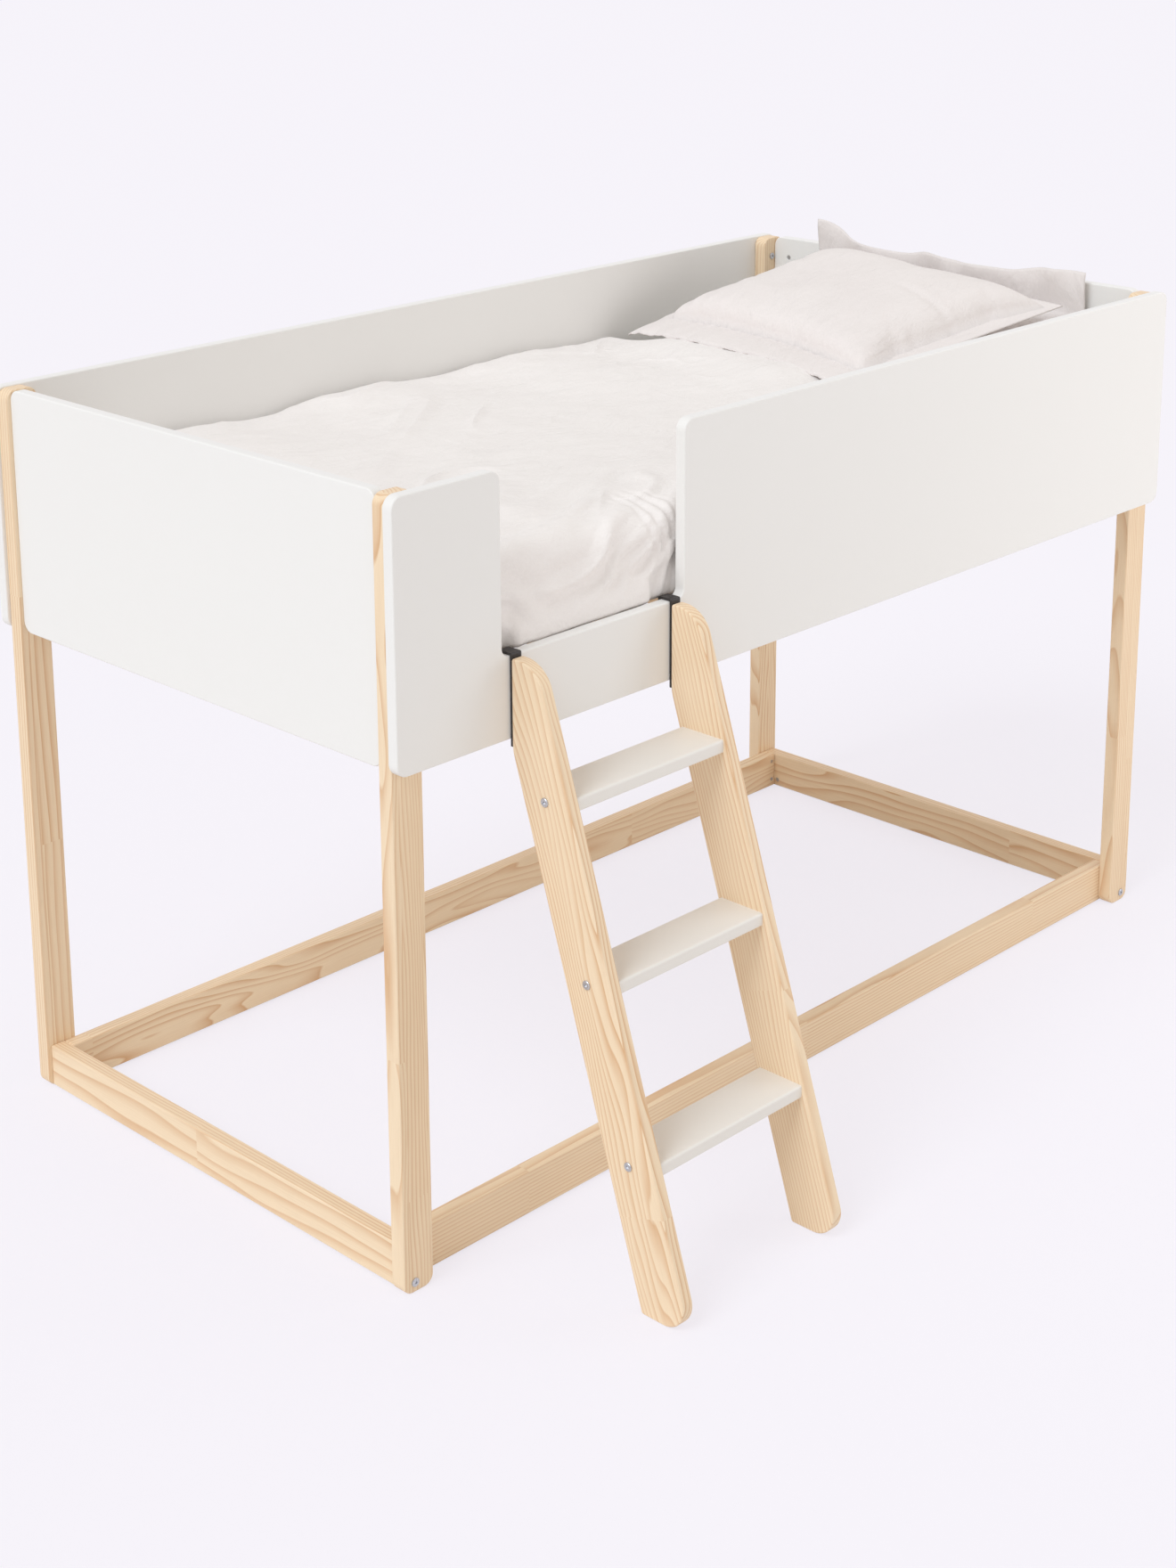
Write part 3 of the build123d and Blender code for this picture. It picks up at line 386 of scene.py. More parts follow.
def cotton(name, light, shade, crease=0.7):
    """Plain woven cotton: fine threads, slight slubs and small soft creases."""
    material, tree, shader = new_material(name)
    t = Tree(tree)
    position = t.position()
    cloud = t.noise(position, 7.0, detail=3.0)
    slub = t.noise(t.mapping(position, scale=(260, 900, 260)), 1.0, detail=2.0)
    color = t.mix("MIX", cloud, light, shade)
    color = t.mix("MULTIPLY", 0.20, color, t.ramp(slub, [(0.3, (0.9, 0.89, 0.88, 1)),
                                                      (0.6, (1, 1, 1, 1))]))
    t.link(color, shader.inputs["Base Color"])
    shader.inputs["Roughness"].default_value = 0.85
    shader.inputs["Specular IOR Level"].default_value = 0.2
    shader.inputs["Sheen Weight"].default_value = 0.25
    shader.inputs["Sheen Roughness"].default_value = 0.5
    weave_x = t.node("ShaderNodeTexWave", wave_type="BANDS", bands_direction="X")
    weave_y = t.node("ShaderNodeTexWave", wave_type="BANDS", bands_direction="Y")
    for wave in (weave_x, weave_y):
        t.link(position, wave.inputs["Vector"])
        wave.inputs["Scale"].default_value = 0.314 / THREAD_PITCH
        wave.inputs["Distortion"].default_value = 0.6
    weave = t.math("ADD", weave_x.outputs["Fac"], weave_y.outputs["Fac"])
    fine = t.bump(weave, 0.10, 0.0003)
    bent = t.vector("ADD", position, t.vector("SCALE", t.noise(position, 6.0, color=True), 0.10))
    wrinkle = t.noise(t.mapping(bent, scale=(0.8, 2.6, 1.2), turn=(0.2, 0.1, 0.75)), 24.0,
                      detail=4.0, rough=0.55)
    fine = t.bump(wrinkle, crease, 0.006, fine)
    t.link(fine, shader.inputs["Normal"])
    return material


def paint(node, material):
    """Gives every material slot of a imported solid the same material."""
    mesh = nodes[node].data
    if not mesh.materials:
        mesh.materials.append(material)
    for i in range(len(mesh.materials)):
        mesh.materials[i] = material


SLOPE = math.radians(17.5)
board_white = white_board("white_lacquer")
for node in ("front_panel", "back_panel", "foot_panel", "head_panel"):
    paint(node, board_white)
step_white = white_board("white_lacquer_steps", srgb(240, 237, 232))
for node in ("ladder_step_1", "ladder_step_2", "ladder_step_3"):
    paint(node, step_white)

for seed, node in enumerate(("post_front_foot", "post_front_head", "post_back_foot",
                             "post_back_head")):
    paint(node, pine("pine_" + node, "Z", 11 + seed, stave=(0.9, 0.04), heart=(0.5, 0.38)))
for seed, node in enumerate(("front_rail", "back_rail", "front_cleat", "back_cleat")):
    paint(node, pine("pine_" + node, "X", 31 + seed, stave=(0.7, 0.09), heart=(0.12, 0.2)))
for seed, node in enumerate(("foot_rail", "head_rail", "foot_cleat", "head_cleat")):
    paint(node, pine("pine_" + node, "Y", 51 + seed, stave=(1.2, 0.2), heart=(0.08, 0.3)))
for i in range(14):
    paint(f"slat_{i + 1:02d}", pine(f"pine_slat_{i + 1:02d}", "Y", 71 + i, stave=(1.4, 0.3)))
for seed, node in enumerate(("ladder_stringer_left", "ladder_stringer_right")):
    paint(node, pine("pine_" + node, "Z", 91 + seed, lean=SLOPE, stave=(1.3, 0.3)))

steel = zinc("zinc_plate")
for node in ("frame_bolts", "frame_barrel_nuts", "rail_screws", "end_panel_bolts",
             "end_panel_barrel_nuts", "side_panel_bolts", "side_panel_inserts", "cleat_screws",
             "slat_screws", "ladder_step_bolts", "ladder_step_barrel_nuts"):
    paint(node, steel)
black = black_steel("black_powder_coat")
for node in ("ladder_hook_left", "ladder_hook_right", "ladder_hook_screws"):
    paint(node, black)
dowel = dowel_wood("dowel_beech")
for node in ("frame_dowels", "ladder_step_dowels"):
    paint(node, dowel)

linen = cotton("duvet_cotton", srgb(248, 244, 242), srgb(245, 240, 238))
case = cotton("pillow_cotton", srgb(241, 235, 233), srgb(236, 229, 227))
ticking = cotton("mattress_ticking", srgb(236, 233, 228), srgb(229, 226, 220), crease=0.2)


# Mattress: a foam block in a cover with piped edges

MATTRESS_CORNER, MATTRESS_EDGE = 0.040, 0.020
PIPING_R, PIPING_SIDES = 0.003, 8


def mattress_ring(size):
    """The centres that the cover's corners turn round, with the outward direction at each."""
    around = []
    for cx, cy, start in ((1, 1, 0), (-1, 1, 90), (-1, -1, 180), (1, -1, 270)):
        for k in range(13):
            angle = math.radians(start + 90 * k / 12)
            around.append((cx * (size.x / 2 - MATTRESS_CORNER), cy * (size.y / 2 - MATTRESS_CORNER),
                           math.cos(angle), math.sin(angle)))
    # Straight sides are filled in between the corners
    full = []
    for k, here in enumerate(around):
        full.append(here)
        after = around[(k + 1) % len(around)]
        gap = max(abs(after[0] - here[0]), abs(after[1] - here[1]))
        if gap > 0.1:
            steps = int(gap / 0.03)
            for m in range(1, steps):
                s = m / steps
                full.append((here[0] + (after[0] - here[0]) * s, here[1] + (after[1] - here[1]) * s,
                             here[2], here[3]))
    return np.array(full)


def mattress_levels(height):
    """The cover's side from its bottom edge to its top edge: reach past the ring, and height."""
    corner, edge, half = MATTRESS_CORNER, MATTRESS_EDGE, height / 2
    turns = [math.pi / 2 * k / 8 for k in range(9)]
    levels = [(corner - edge + edge * math.sin(a), -half + edge - edge * math.cos(a))
              for a in turns]
    levels += [(corner - 0.002 * math.sin(math.pi * k / 8),
                -half + edge + (height - 2 * edge) * k / 8) for k in range(1, 8)]
    levels += [(corner - edge + edge * math.cos(a), half - edge + edge * math.sin(a))
               for a in turns]
    return levels


def piping_cord(ring, z):
    """One cord round the cover, as points and faces."""
    seat = MATTRESS_CORNER - 0.0042
    loop = np.stack([ring[:, 0] + ring[:, 2] * seat, ring[:, 1] + ring[:, 3] * seat], -1)
    tube = []
    for k in range(PIPING_SIDES):
        angle = 2 * math.pi * k / PIPING_SIDES
        out, up = PIPING_R * math.cos(angle), PIPING_R * math.sin(angle)
        tube.append(np.stack([loop[:, 0] + ring[:, 2] * out, loop[:, 1] + ring[:, 3] * out,
                              np.full(len(loop), z + up)], -1))
    tube = np.stack(tube, 1)
    closed = np.concatenate([tube, tube[:1]])
    return closed.reshape(-1, 3), grid_faces(len(closed), PIPING_SIDES, wrap=True)


def mattress():
    size = MATTRESS_HIGH - MATTRESS_LOW
    middle = np.array((MATTRESS_HIGH + MATTRESS_LOW) / 2)
    ring = mattress_ring(size)
    levels = mattress_levels(size.z)
    points = np.concatenate([
        np.stack([ring[:, 0] + ring[:, 2] * reach, ring[:, 1] + ring[:, 3] * reach,
                  np.full(len(ring), z)], -1) for reach, z in levels])
    faces = list(map(tuple, grid_faces(len(levels), len(ring), wrap=True)))
    top_start = (len(levels) - 1) * len(ring)
    faces.append(tuple(range(len(ring)))[::-1])
    faces.append(tuple(range(top_start, top_start + len(ring))))
    body = mesh_object("mattress_cover", points + middle, faces)

    seam = size.z / 2 - MATTRESS_EDGE * 0.55
    (low_points, low_faces), (high_points, high_faces) = (piping_cord(ring, z)
                                                          for z in (-seam, seam))
    piping = mesh_object("mattress_piping", np.concatenate([low_points, high_points]) + middle,
                         np.concatenate([low_faces, high_faces + len(low_points)]))
    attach(body, "mattress")
    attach(piping, "mattress")
    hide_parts("mattress")
    for piece in (body, piping):
        piece.data.materials.append(ticking)


# Duvet: a padded cover laid over the mattress, its front side tucked down behind the panel

DUVET_LOW = low("duvet")
DUVET_HIGH = high("duvet")
DUVET_START = (DUVET_LOW.x - FOOT) * 1000
DUVET_UNDER_PILLOW = 20
DUVET_END = (DUVET_HIGH.x - FOOT) * 1000 + DUVET_UNDER_PILLOW
DUVET_SIDE, DUVET_BACK, DUVET_TURN = 48.6, 972.0, 22.0
DUVET_RIM = 3.0
DUVET_ROWS, DUVET_COLUMNS = 560, 440
UNDER = MATTRESS_TOP * 1000 + 0.4


def duvet_path(count):
    """The line across the bed that the duvet's underside follows: places, normals, distance."""
    side, edge, back = DUVET_SIDE, DUVET_TURN, DUVET_BACK
    hem = DUVET_LOW.z * 1000
    places, normals = [], []
    for k in range(24):
        places.append((side, hem + (UNDER - edge - hem) * k / 24))
        normals.append((-1.0, 0.0))
    for k in range(17):
        angle = math.pi / 2 * k / 16
        places.append((side + edge - edge * math.cos(angle), UNDER - edge + edge * math.sin(angle)))
        normals.append((-math.cos(angle), math.sin(angle)))
    flat = back - side - edge
    for k in range(1, 150):
        places.append((side + edge + flat * k / 149, UNDER))
        normals.append((0.0, 1.0))
    places, normals = np.array(places), np.array(normals)
    distance = np.concatenate([[0], np.cumsum(np.linalg.norm(np.diff(places, axis=0), axis=1))])
    wanted = np.linspace(0, distance[-1], count)
    place = np.stack([np.interp(wanted, distance, places[:, i]) for i in (0, 1)], -1)
    normal = np.stack([np.interp(wanted, distance, normals[:, i]) for i in (0, 1)], -1)
    normal /= np.linalg.norm(normal, axis=1, keepdims=True)
    return place, normal, wanted


def duvet_body(X, S, length):
    """Thickness: thin on the drape, fuller over the shoulder and on top, with broad waves."""
    T = 17.2 + 10.8 * smoothstep(60, 190, S)
    T += 5.0 * smoothstep(180, 460, S) * (1 - smoothstep(length - 420, length - 60, S))
    dip = DUVET_END - 45.0
    share = 0.33 + 0.67 * smoothstep(200, length, S)
    T += -5.0 * np.cos(2 * np.pi * (X - dip) / 430.0) * share * smoothstep(120, 240, S)
    T += 1.8 * np.sin(2 * np.pi * (X - dip) / 280.0) * (1 - smoothstep(100, 180, S))
    return T


def add_creases(T, X, S):
    """Soft swell, creases along the bed that slant to the front, and small ones at the pillow."""
    calm = 1 - 0.75 * smoothstep(DUVET_END - 150, DUVET_END - 60, X)
    T += 4.2 * layered(X / 190, S / 140, 3, seed=3) * smoothstep(90, 200, S) * calm
    slant = X * 0.80 + S * 0.60
    across = -X * 0.60 + S * 0.80
    creases = ridged(slant / 260 + 0.5 * smooth_noise(X / 180, S / 180, seed=8), across / 74,
                     seed=5, sharp=3.0)
    patch = smoothstep(-0.1, 0.7, smooth_noise(X / 240, S / 260, seed=9))
    T += 8.0 * (creases - 0.35) * patch * smoothstep(110, 220, S) * calm
    small = ridged(X / 58 + 0.6 * smooth_noise(X / 50, S / 50, seed=2), S / 46, seed=12, sharp=2.5)
    near_pillow = smoothstep(DUVET_END - 420, DUVET_END - 120, X)
    T += 2.8 * (small - 0.4) * (0.25 + 0.75 * near_pillow) * smoothstep(120, 220, S) * calm


def add_entry_folds(T, X, S):
    """Long folds sweep down from the entry's right side, short ones bend round the corner."""
    entry = smoothstep(150, 240, X) * (1 - smoothstep(640, 760, X))
    sway = 34.0 * smooth_noise(X / 130, S / 90, seed=21)
    sweep = S + 0.52 * (622 - X) - 0.00062 * (622 - X) ** 2 + sway
    long_folds = np.sin(2 * np.pi * sweep / 58.0)
    long_folds = np.where(long_folds > 0, long_folds, 0.45 * long_folds)
    gate = smoothstep(-0.9, 0.0, smooth_noise(sweep / 44, X / 210, seed=23))
    T += 5.4 * long_folds * gate * entry * smoothstep(18, 70, S) * (1 - smoothstep(200, 330, S))
    drop_x, drop_s = X - 640.0, S - 165.0
    turn = np.arctan2(-drop_s, -drop_x)
    far = np.hypot(drop_x, drop_s)
    rays = np.sin(turn * 27.0 + 2.2 * smooth_noise(far / 75, turn * 2.2, seed=25))
    rays = np.maximum(rays, -0.45) * smoothstep(40, 130, far) * (1 - smoothstep(300, 470, far))
    T += 3.4 * rays * entry * (1 - smoothstep(120, 175, S))


def add_tucks(T, X, S):
    """Curls at the entry's left corner, and upright gathers at its right side."""
    tuck_x, tuck_s = X - 196.0, S + 6.0
    curl = np.sin(np.hypot(tuck_x, tuck_s * 1.3) / 9.5 + 1.2 * smooth_noise(X / 60, S / 60, seed=31))
    T += 3.4 * curl * smoothstep(12, 50, tuck_x) * (1 - smoothstep(90, 190, tuck_x)) * (
        1 - smoothstep(110, 165, S))
    upright = np.sin(2 * np.pi * (X + 0.25 * S) / 23.0 + 1.5 * smooth_noise(X / 70, S / 70, seed=33))
    T += 2.4 * upright * smoothstep(540, 575, X) * (1 - smoothstep(612, 640, X)) * smoothstep(
        60, 100, S) * (1 - smoothstep(150, 215, S))


def add_pillow_swell(T, X, Y):
    """Swells up under the near hem of the front pillow."""
    hem_x = 1365 + 0.2 * (Y - 290)
    swell = smoothstep(hem_x - 185, hem_x - 25, X) * (
        1 - 0.85 * smoothstep(hem_x + 8, hem_x + 62, X))
    T += 23.0 * swell * smoothstep(310, 440, Y) * (1 - smoothstep(740, 925, Y))


def rounded(distance, reach):
    """0 at an edge, rising to 1 at the reach as a quarter circle does."""
    return np.sqrt(np.clip(1 - (1 - np.clip(distance / reach, 0, 1)) ** 2, 0, 1))


def above_sill(X):
    """1 between the ladder's hooks, where the duvet closes the gap over the sill."""
    left = (high("ladder_hook_left").x - FOOT) * 1000
    right = (low("ladder_hook_right").x - FOOT) * 1000
    return smoothstep(left + 4, left + 26, X) * (1 - smoothstep(right - 26, right - 4, X))


def sheet_faces(rows, columns):
    """Upper and lower face of a sheet of two grids, with the strips that join their edges."""
    count = rows * columns
    faces = [grid_faces(rows, columns, flip=True), grid_faces(rows, columns, start=count)]
    i, j = np.arange(rows - 1) * columns, np.arange(columns - 1)
    last = (rows - 1) * columns
    for a, step, turned in ((i, columns, False), (i + columns - 1, columns, True),
                            (j, 1, True), (j + last, 1, False)):
        quad = np.stack([a, a + step, a + step + count, a + count], -1)
        faces.append(quad[:, ::-1] if turned else quad)
    return np.concatenate(faces)


def duvet():
    place, normal, s = duvet_path(DUVET_COLUMNS)
    X, S = np.meshgrid(np.linspace(DUVET_START, DUVET_END, DUVET_ROWS), s, indexing="ij")
    Y = np.broadcast_to(place[:, 0], X.shape)
    T = duvet_body(X, S, s[-1])
    add_creases(T, X, S)
    add_entry_folds(T, X, S)
    add_tucks(T, X, S)
    add_pillow_swell(T, X, Y)

    end = np.minimum(X - DUVET_START, DUVET_END - X)
    hem_rim = rounded(S, 12.0)
    rim = rounded(end, 26.0) * rounded(s[-1] - S, 24.0) * hem_rim
    T = DUVET_RIM + (np.maximum(T, 8.0) - DUVET_RIM) * rim
    over_sill = above_sill(X)
    T += over_sill * hem_rim * np.clip(26.9 - T, 0, 20) * (1 - smoothstep(24, 62, S))

    # The drape keeps clear of the front panel and of the hooks' way up
    free = 26.4 - 5.0 * over_sill
    top_y = Y + normal[:, 0] * T
    top_y = np.where((S < 150) & (top_y < free), free + 0.1 * (top_y - free), top_y)
    top = np.stack([X, top_y, place[:, 1] + normal[:, 1] * T], -1).reshape(-1, 3)
    under = np.stack([X, Y, np.broadcast_to(place[:, 1], X.shape)], -1).reshape(-1, 3)
    points = np.concatenate([top, under]) / 1000 + np.array([FOOT, FRONT, 0.0])
    body = mesh_object("duvet_cover", points, sheet_faces(DUVET_ROWS, DUVET_COLUMNS))
    body.data.materials.append(linen)
    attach(body, "duvet")
    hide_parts("duvet")


# Pillows: one bag of cloth is blown up flat, and both pillows take their skin from it

BAG_W, BAG_H = 0.62, 0.54
BAG_COLUMNS, BAG_ROWS = 84, 74
BAG_START = 0.004
BLOWING_STEPS = 26


def quads(index, flip):
    """Quads between the neighbours of a grid of point numbers."""
    q = np.stack([index[:-1, :-1], index[1:, :-1], index[1:, 1:], index[:-1, 1:]], -1)
    q = q.reshape(-1, 4)
    return q[:, ::-1] if flip else q


def blow_up(bag):
    """Fills the flat bag by pressure alone and gives the places of its points."""
    cloth = bag.modifiers.new("cloth", "CLOTH")
    settings = cloth.settings
    settings.quality = 6
    settings.mass = 0.15
    settings.tension_stiffness = 12
    settings.compression_stiffness = 12
    settings.shear_stiffness = 3
    settings.bending_stiffness = 0.15
    settings.use_pressure = True
    settings.uniform_pressure_force = 3.2
    settings.effector_weights.gravity = 0
    cloth.collision_settings.use_collision = False
    cloth.point_cache.frame_start = 1
    cloth.point_cache.frame_end = 30
    scene = bpy.context.scene
    for step in range(1, BLOWING_STEPS + 1):
        scene.frame_set(step)
    shown = bag.evaluated_get(bpy.context.evaluated_depsgraph_get())
    blown = np.empty(len(shown.data.vertices) * 3)
    shown.data.vertices.foreach_get("co", blown)
    bpy.data.objects.remove(bag)
    scene.frame_set(1)
    return blown.reshape(-1, 3)


def blown_bag():
    """Top and bottom skins of a stuffed case, as arrays of places on the flat seam plane."""
    xs = np.linspace(-BAG_W / 2, BAG_W / 2, BAG_COLUMNS)
    ys = np.linspace(-BAG_H / 2, BAG_H / 2, BAG_ROWS)
    X, Y = np.meshgrid(xs, ys, indexing="ij")
    index = np.arange(X.size).reshape(X.shape)
    rim = np.zeros(X.shape, bool)
    rim[0, :] = rim[-1, :] = rim[:, 0] = rim[:, -1] = True
    bottom = index.copy()
    bottom[~rim] = np.arange((~rim).sum()) + X.size
    swell = (1 - (2 * X / BAG_W) ** 2) * (1 - (2 * Y / BAG_H) ** 2)
    upper = np.stack([X, Y, BAG_START * swell], -1).reshape(-1, 3)
    lower = np.stack([X, Y, -BAG_START * swell], -1)[~rim]
    blown = blow_up(mesh_object("flat_bag", np.concatenate([upper, lower]),
                                np.concatenate([quads(index, False), quads(bottom, True)])))
    return blown[index], blown[bottom]


def corner_blend(corners, u, v):
    """A place on the four-cornered patch: u from near to far, v from back side to front."""
    near_back, near_front, far_back, far_front = corners
    u, v = u[..., None], v[..., None]
    near = near_back * (1 - v) + near_front * v
    far = far_back * (1 - v) + far_front * v
    return near * (1 - u) + far * u


def skin_faces(shape, start, flip):
    return quads(np.arange(shape[0] * shape[1]).reshape(shape) + start, flip)


def full_level(shape, power):
    """0 at the seam and 1 in the middle, steep beside the seam as in a well filled case."""
    a = np.linspace(-1, 1, shape[0])[:, None]
    b = np.linspace(-1, 1, shape[1])[None, :]
    return ((1 - np.abs(a) ** power) * (1 - np.abs(b) ** power)) ** 0.5


def even_places(skin, pull):
    """Shares along and across the case, with part of the pull that the filling gave them."""
    along = np.linspace(0, 1, skin.shape[0])[:, None]
    across = np.linspace(1, 0, skin.shape[1])[None, :]
    u = pull * (skin[..., 0] / BAG_W + 0.5) + (1 - pull) * along
    return u, pull * (0.5 - skin[..., 1] / BAG_H) + (1 - pull) * across


HEM_ROWS = 8


def rim_share(shape, axis):
    """0 on the skin, rising to 1 at the outer edge of the hem."""
    n = HEM_ROWS
    k = np.arange(shape[axis])
    share = np.clip(np.maximum(n - k, k - (shape[axis] - 1 - n)) / n, 0, 1)
    return share[:, None] * np.ones(shape) if axis == 0 else share[None, :] * np.ones(shape)


def with_hem(u, v, z, near_reach, near_bow):
    """Carries a skin's rim outwards to the patch's edge, as the flat hem of the case."""
    n = HEM_ROWS
    U, V, Z = (np.pad(q, n, mode="edge") for q in (u, v, z))
    bow = near_bow * np.sin(np.pi * np.clip(V[n, :], 0, 1)) ** 0.7
    bow = bow - near_reach * (1 - smoothstep(0.35, 0.9, V[n, :]))
    first_v, last_v = (0.0, 1.0) if V[0, n] < 0.5 else (1.0, 0.0)
    for k in range(1, n + 1):
        share = k / n
        U[n - k, :] = U[n, :] + (bow - U[n, :]) * share
        U[-n - 1 + k, :] = U[-n - 1, :] + (1.0 - U[-n - 1, :]) * share
        V[:, n - k] = V[:, n] + (first_v - V[:, n]) * share
        V[:, -n - 1 + k] = V[:, -n - 1] + (last_v - V[:, -n - 1]) * share
    depth = np.maximum(rim_share(U.shape, 0), rim_share(U.shape, 1))
    return U, V, Z * (1 - smoothstep(0, 0.2, depth)), depth


def rim_faces(shape):
    """Closes the outer edge between the two skins."""
    rows, columns = shape
    count = rows * columns
    loop = [(i, 0) for i in range(rows)] + [(rows - 1, j) for j in range(1, columns)]
    loop += [(i, columns - 1) for i in range(rows - 2, -1, -1)]
    loop += [(0, j) for j in range(columns - 2, 0, -1)]
    ids = np.array([i * columns + j for i, j in loop])
    after = np.roll(ids, -1)
    return np.stack([ids, after, after + count, ids + count], -1)


def pillow_object(name, node, skins):
    """Joins an upper and a lower skin, in millimetres of the bed, into one closed case."""
    points = np.concatenate([skin.reshape(-1, 3) for skin in skins]) / 1000
    shape = skins[0].shape[:2]
    count = shape[0] * shape[1]
    faces = [skin_faces(shape, 0, True), skin_faces(shape, count, False), rim_faces(shape)]
    body = mesh_object(name, points + np.array([FOOT, FRONT, 0.0]), np.concatenate(faces))
    body.data.materials.append(case)
    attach(body, node)
    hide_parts(node)


FRONT_CORNERS = [np.array(c, float) for c in (
    (1490, 915, 1140), (1365, 290, 1136), (1893, 735, 1262), (1893, 165, 1226))]


FRONT_RISE, FRONT_SINK = 68.0, 13.0
HEM_REACH, HEM_BOW = 0.05, 0.02
HEM_LIFT, HEM_DROOP, HEM_RIPPLE = 23.0, 6.5, 1.7


def front_top(u, v, level):
    """Upper side of the front case: gathers at the near seam, one long crease and soft folds."""
    z = FRONT_RISE * level
    gather = np.sin(2 * np.pi * v * 17 + 2.2 * smooth_noise(v * 9, u * 5, seed=41))
    near = smoothstep(0.115, 0.15, u) * (1 - smoothstep(0.17, 0.34, u))
    z += 3.2 * gather * near * (0.6 + 0.6 * smooth_noise(v * 5, u * 3, seed=43))
    along = (u - 0.60) * 0.55 + (v - 0.80) * 0.12
    crease = np.exp(-(along / 0.010) ** 2) * smoothstep(0.60, 0.76, v)
    z -= 4.5 * crease * (1 - smoothstep(0.93, 1.0, v))
    z += 3.0 * layered(u * 3.3, v * 3.1, 3, seed=45) * level
    z += 2.6 * (ridged(u * 5 + v * 2.2, v * 3 - u * 1.6, seed=47, sharp=3) - 0.4) * level
    return z


def loose_hem(U, V, Z, hem):
    """The near hem bows up over the duvet's end, ripples and droops at its outer edge."""
    bow = np.sin(np.pi * np.clip(V, 0, 1)) ** 0.7
    near = 1 - smoothstep(0.0, 0.30, U)
    wave = np.sin(2 * np.pi * V * 9 + 2.6 * smooth_noise(V * 6, U * 4, seed=49))
    wave += 0.6 * np.sin(2 * np.pi * V * 23 + 2 * smooth_noise(V * 14, U * 8, seed=51))
    Z = Z + HEM_RIPPLE * wave * hem * (1 - smoothstep(0.1, 0.2, U)) + HEM_LIFT * bow * near
    return Z - HEM_DROOP * hem ** 2 * (1 - smoothstep(0.05, 0.15, U))


def front_pillow(upper, lower):
    """Leans on the back pillow; its near hem lies loose over the duvet's end."""
    near_back, near_front, far_back, far_front = FRONT_CORNERS
    normal = np.cross(far_front - near_back, near_front - far_back)
    normal *= np.sign(normal[2]) / np.linalg.norm(normal)
    peak, depth = upper[..., 2].max(), -lower[..., 2].min()
    skins = []
    for side, skin in enumerate((upper, lower)):
        even_u, even_v = even_places(skin, 0.35)
        u = 0.115 + 0.855 * even_u
        v = 0.020 + 0.960 * even_v
        blown = np.abs(skin[..., 2]) / (peak if side == 0 else depth)
        level = 0.93 * full_level(u.shape, 4.6) + 0.07 * blown
        z = front_top(u, v, level) if side == 0 else -FRONT_SINK * level
        U, V, Z, hem = with_hem(u, v, z, HEM_REACH, HEM_BOW)
        Z = loose_hem(U, V, Z, hem)
        Z = Z + (1.3 if side == 0 else -1.3) * smoothstep(0, 0.15, hem)
        skins.append(corner_blend(FRONT_CORNERS, U, V) + Z[..., None] * normal)
    pillow_object("pillow_front_case", "pillow_front", skins)


def back_pillow(upper, lower):
    """Lies under the front pillow, with its far part and hem bent up against the head panel."""
    near_back, near_front, far_back, far_front = FRONT_CORNERS

    def seam_height(x, y):
        share = (near_back[1] - y) / (near_back[1] - near_front[1])
        near_x = near_back[0] + (near_front[0] - near_back[0]) * share
        near_z = near_back[2] + (near_front[2] - near_back[2]) * share
        far_z = far_back[2] + (far_front[2] - far_back[2]) * share
        return near_z + (far_z - near_z) * (x - near_x) / (far_back[0] - near_x)

    n = HEM_ROWS
    peak, depth = upper[..., 2].max(), -lower[..., 2].min()
    base = MATTRESS_TOP * 1000 + 0.6
    skins = []
    for side, skin in enumerate((upper, lower)):
        even_u, even_v = even_places(skin, 0.6)
        u = 0.02 + 0.86 * even_u
        v = 0.03 + 0.94 * even_v
        blown = np.abs(skin[..., 2]) / (peak if side == 0 else depth)
        U, V, Z, hem = with_hem(u, v, 0 * u, 0.0, 0.0)
        level = np.zeros(U.shape)
        level[n:-n, n:-n] = 0.7 * full_level(u.shape, 3.0) + 0.3 * blown
        y = 812 - 660 * V
        toe = 1478 + 36 * (1 - np.sin(np.pi * np.clip(V, 0.02, 0.98)) ** 0.6)
        knee_z = seam_height(1890.0, y) - 24
        mid_x = (toe + 1890) / 2
        mid_z = seam_height(mid_x, y) - 19.5
        tip_z = 1270 + 48 * np.exp(-(V / 0.13) ** 2) + 15 * smoothstep(0.72, 0.88, V)
        tip_z = tip_z + 11 * np.exp(-((V - 0.43) / 0.06) ** 2)
        fold = 7 * np.sin(2 * np.pi * V * 4.3 + 2.0 * smooth_noise(V * 5, U * 3, seed=61))
        flare = smoothstep(0.86, 1.0, U)
        tip_x = 1946 + np.clip(fold, -7, 7) * flare
        top = path_between(U, toe, base + 8, mid_x, mid_z, knee_z, tip_x, tip_z)
        under = under_path(U, toe, base, tip_z)
        seam = under + (top - under) * (0.34 + 0.5 * flare)[..., None]
        place = seam + ((top if side == 0 else under) - seam) * level[..., None]
        apart = (1.2 if side == 0 else -1.2) * hem
        upright = smoothstep(0.80, 0.90, U)
        x = place[..., 0] - apart * upright
        z = place[..., 1] + apart * (1 - upright)
        skins.append(np.stack([x, y, z], -1))
    pillow_object("pillow_back_case", "pillow_back", skins)


def path_between(U, toe, toe_z, mid_x, mid_z, knee_z, tip_x, tip_z):
    """The back pillow's upper line: up from the toe, along under the front pillow, and up."""
    knots = [0.0, 0.34, 0.68, 0.80, 0.90, 1.0]
    xs = [toe, mid_x, np.full(U.shape, 1880.0), np.full(U.shape, 1918.0), tip_x - 14, tip_x]
    zs = [toe_z + 0 * U, mid_z, knee_z, knee_z + 10, (knee_z + tip_z) / 2 + 4, tip_z]
    return blend_knots(U, knots, xs, zs)


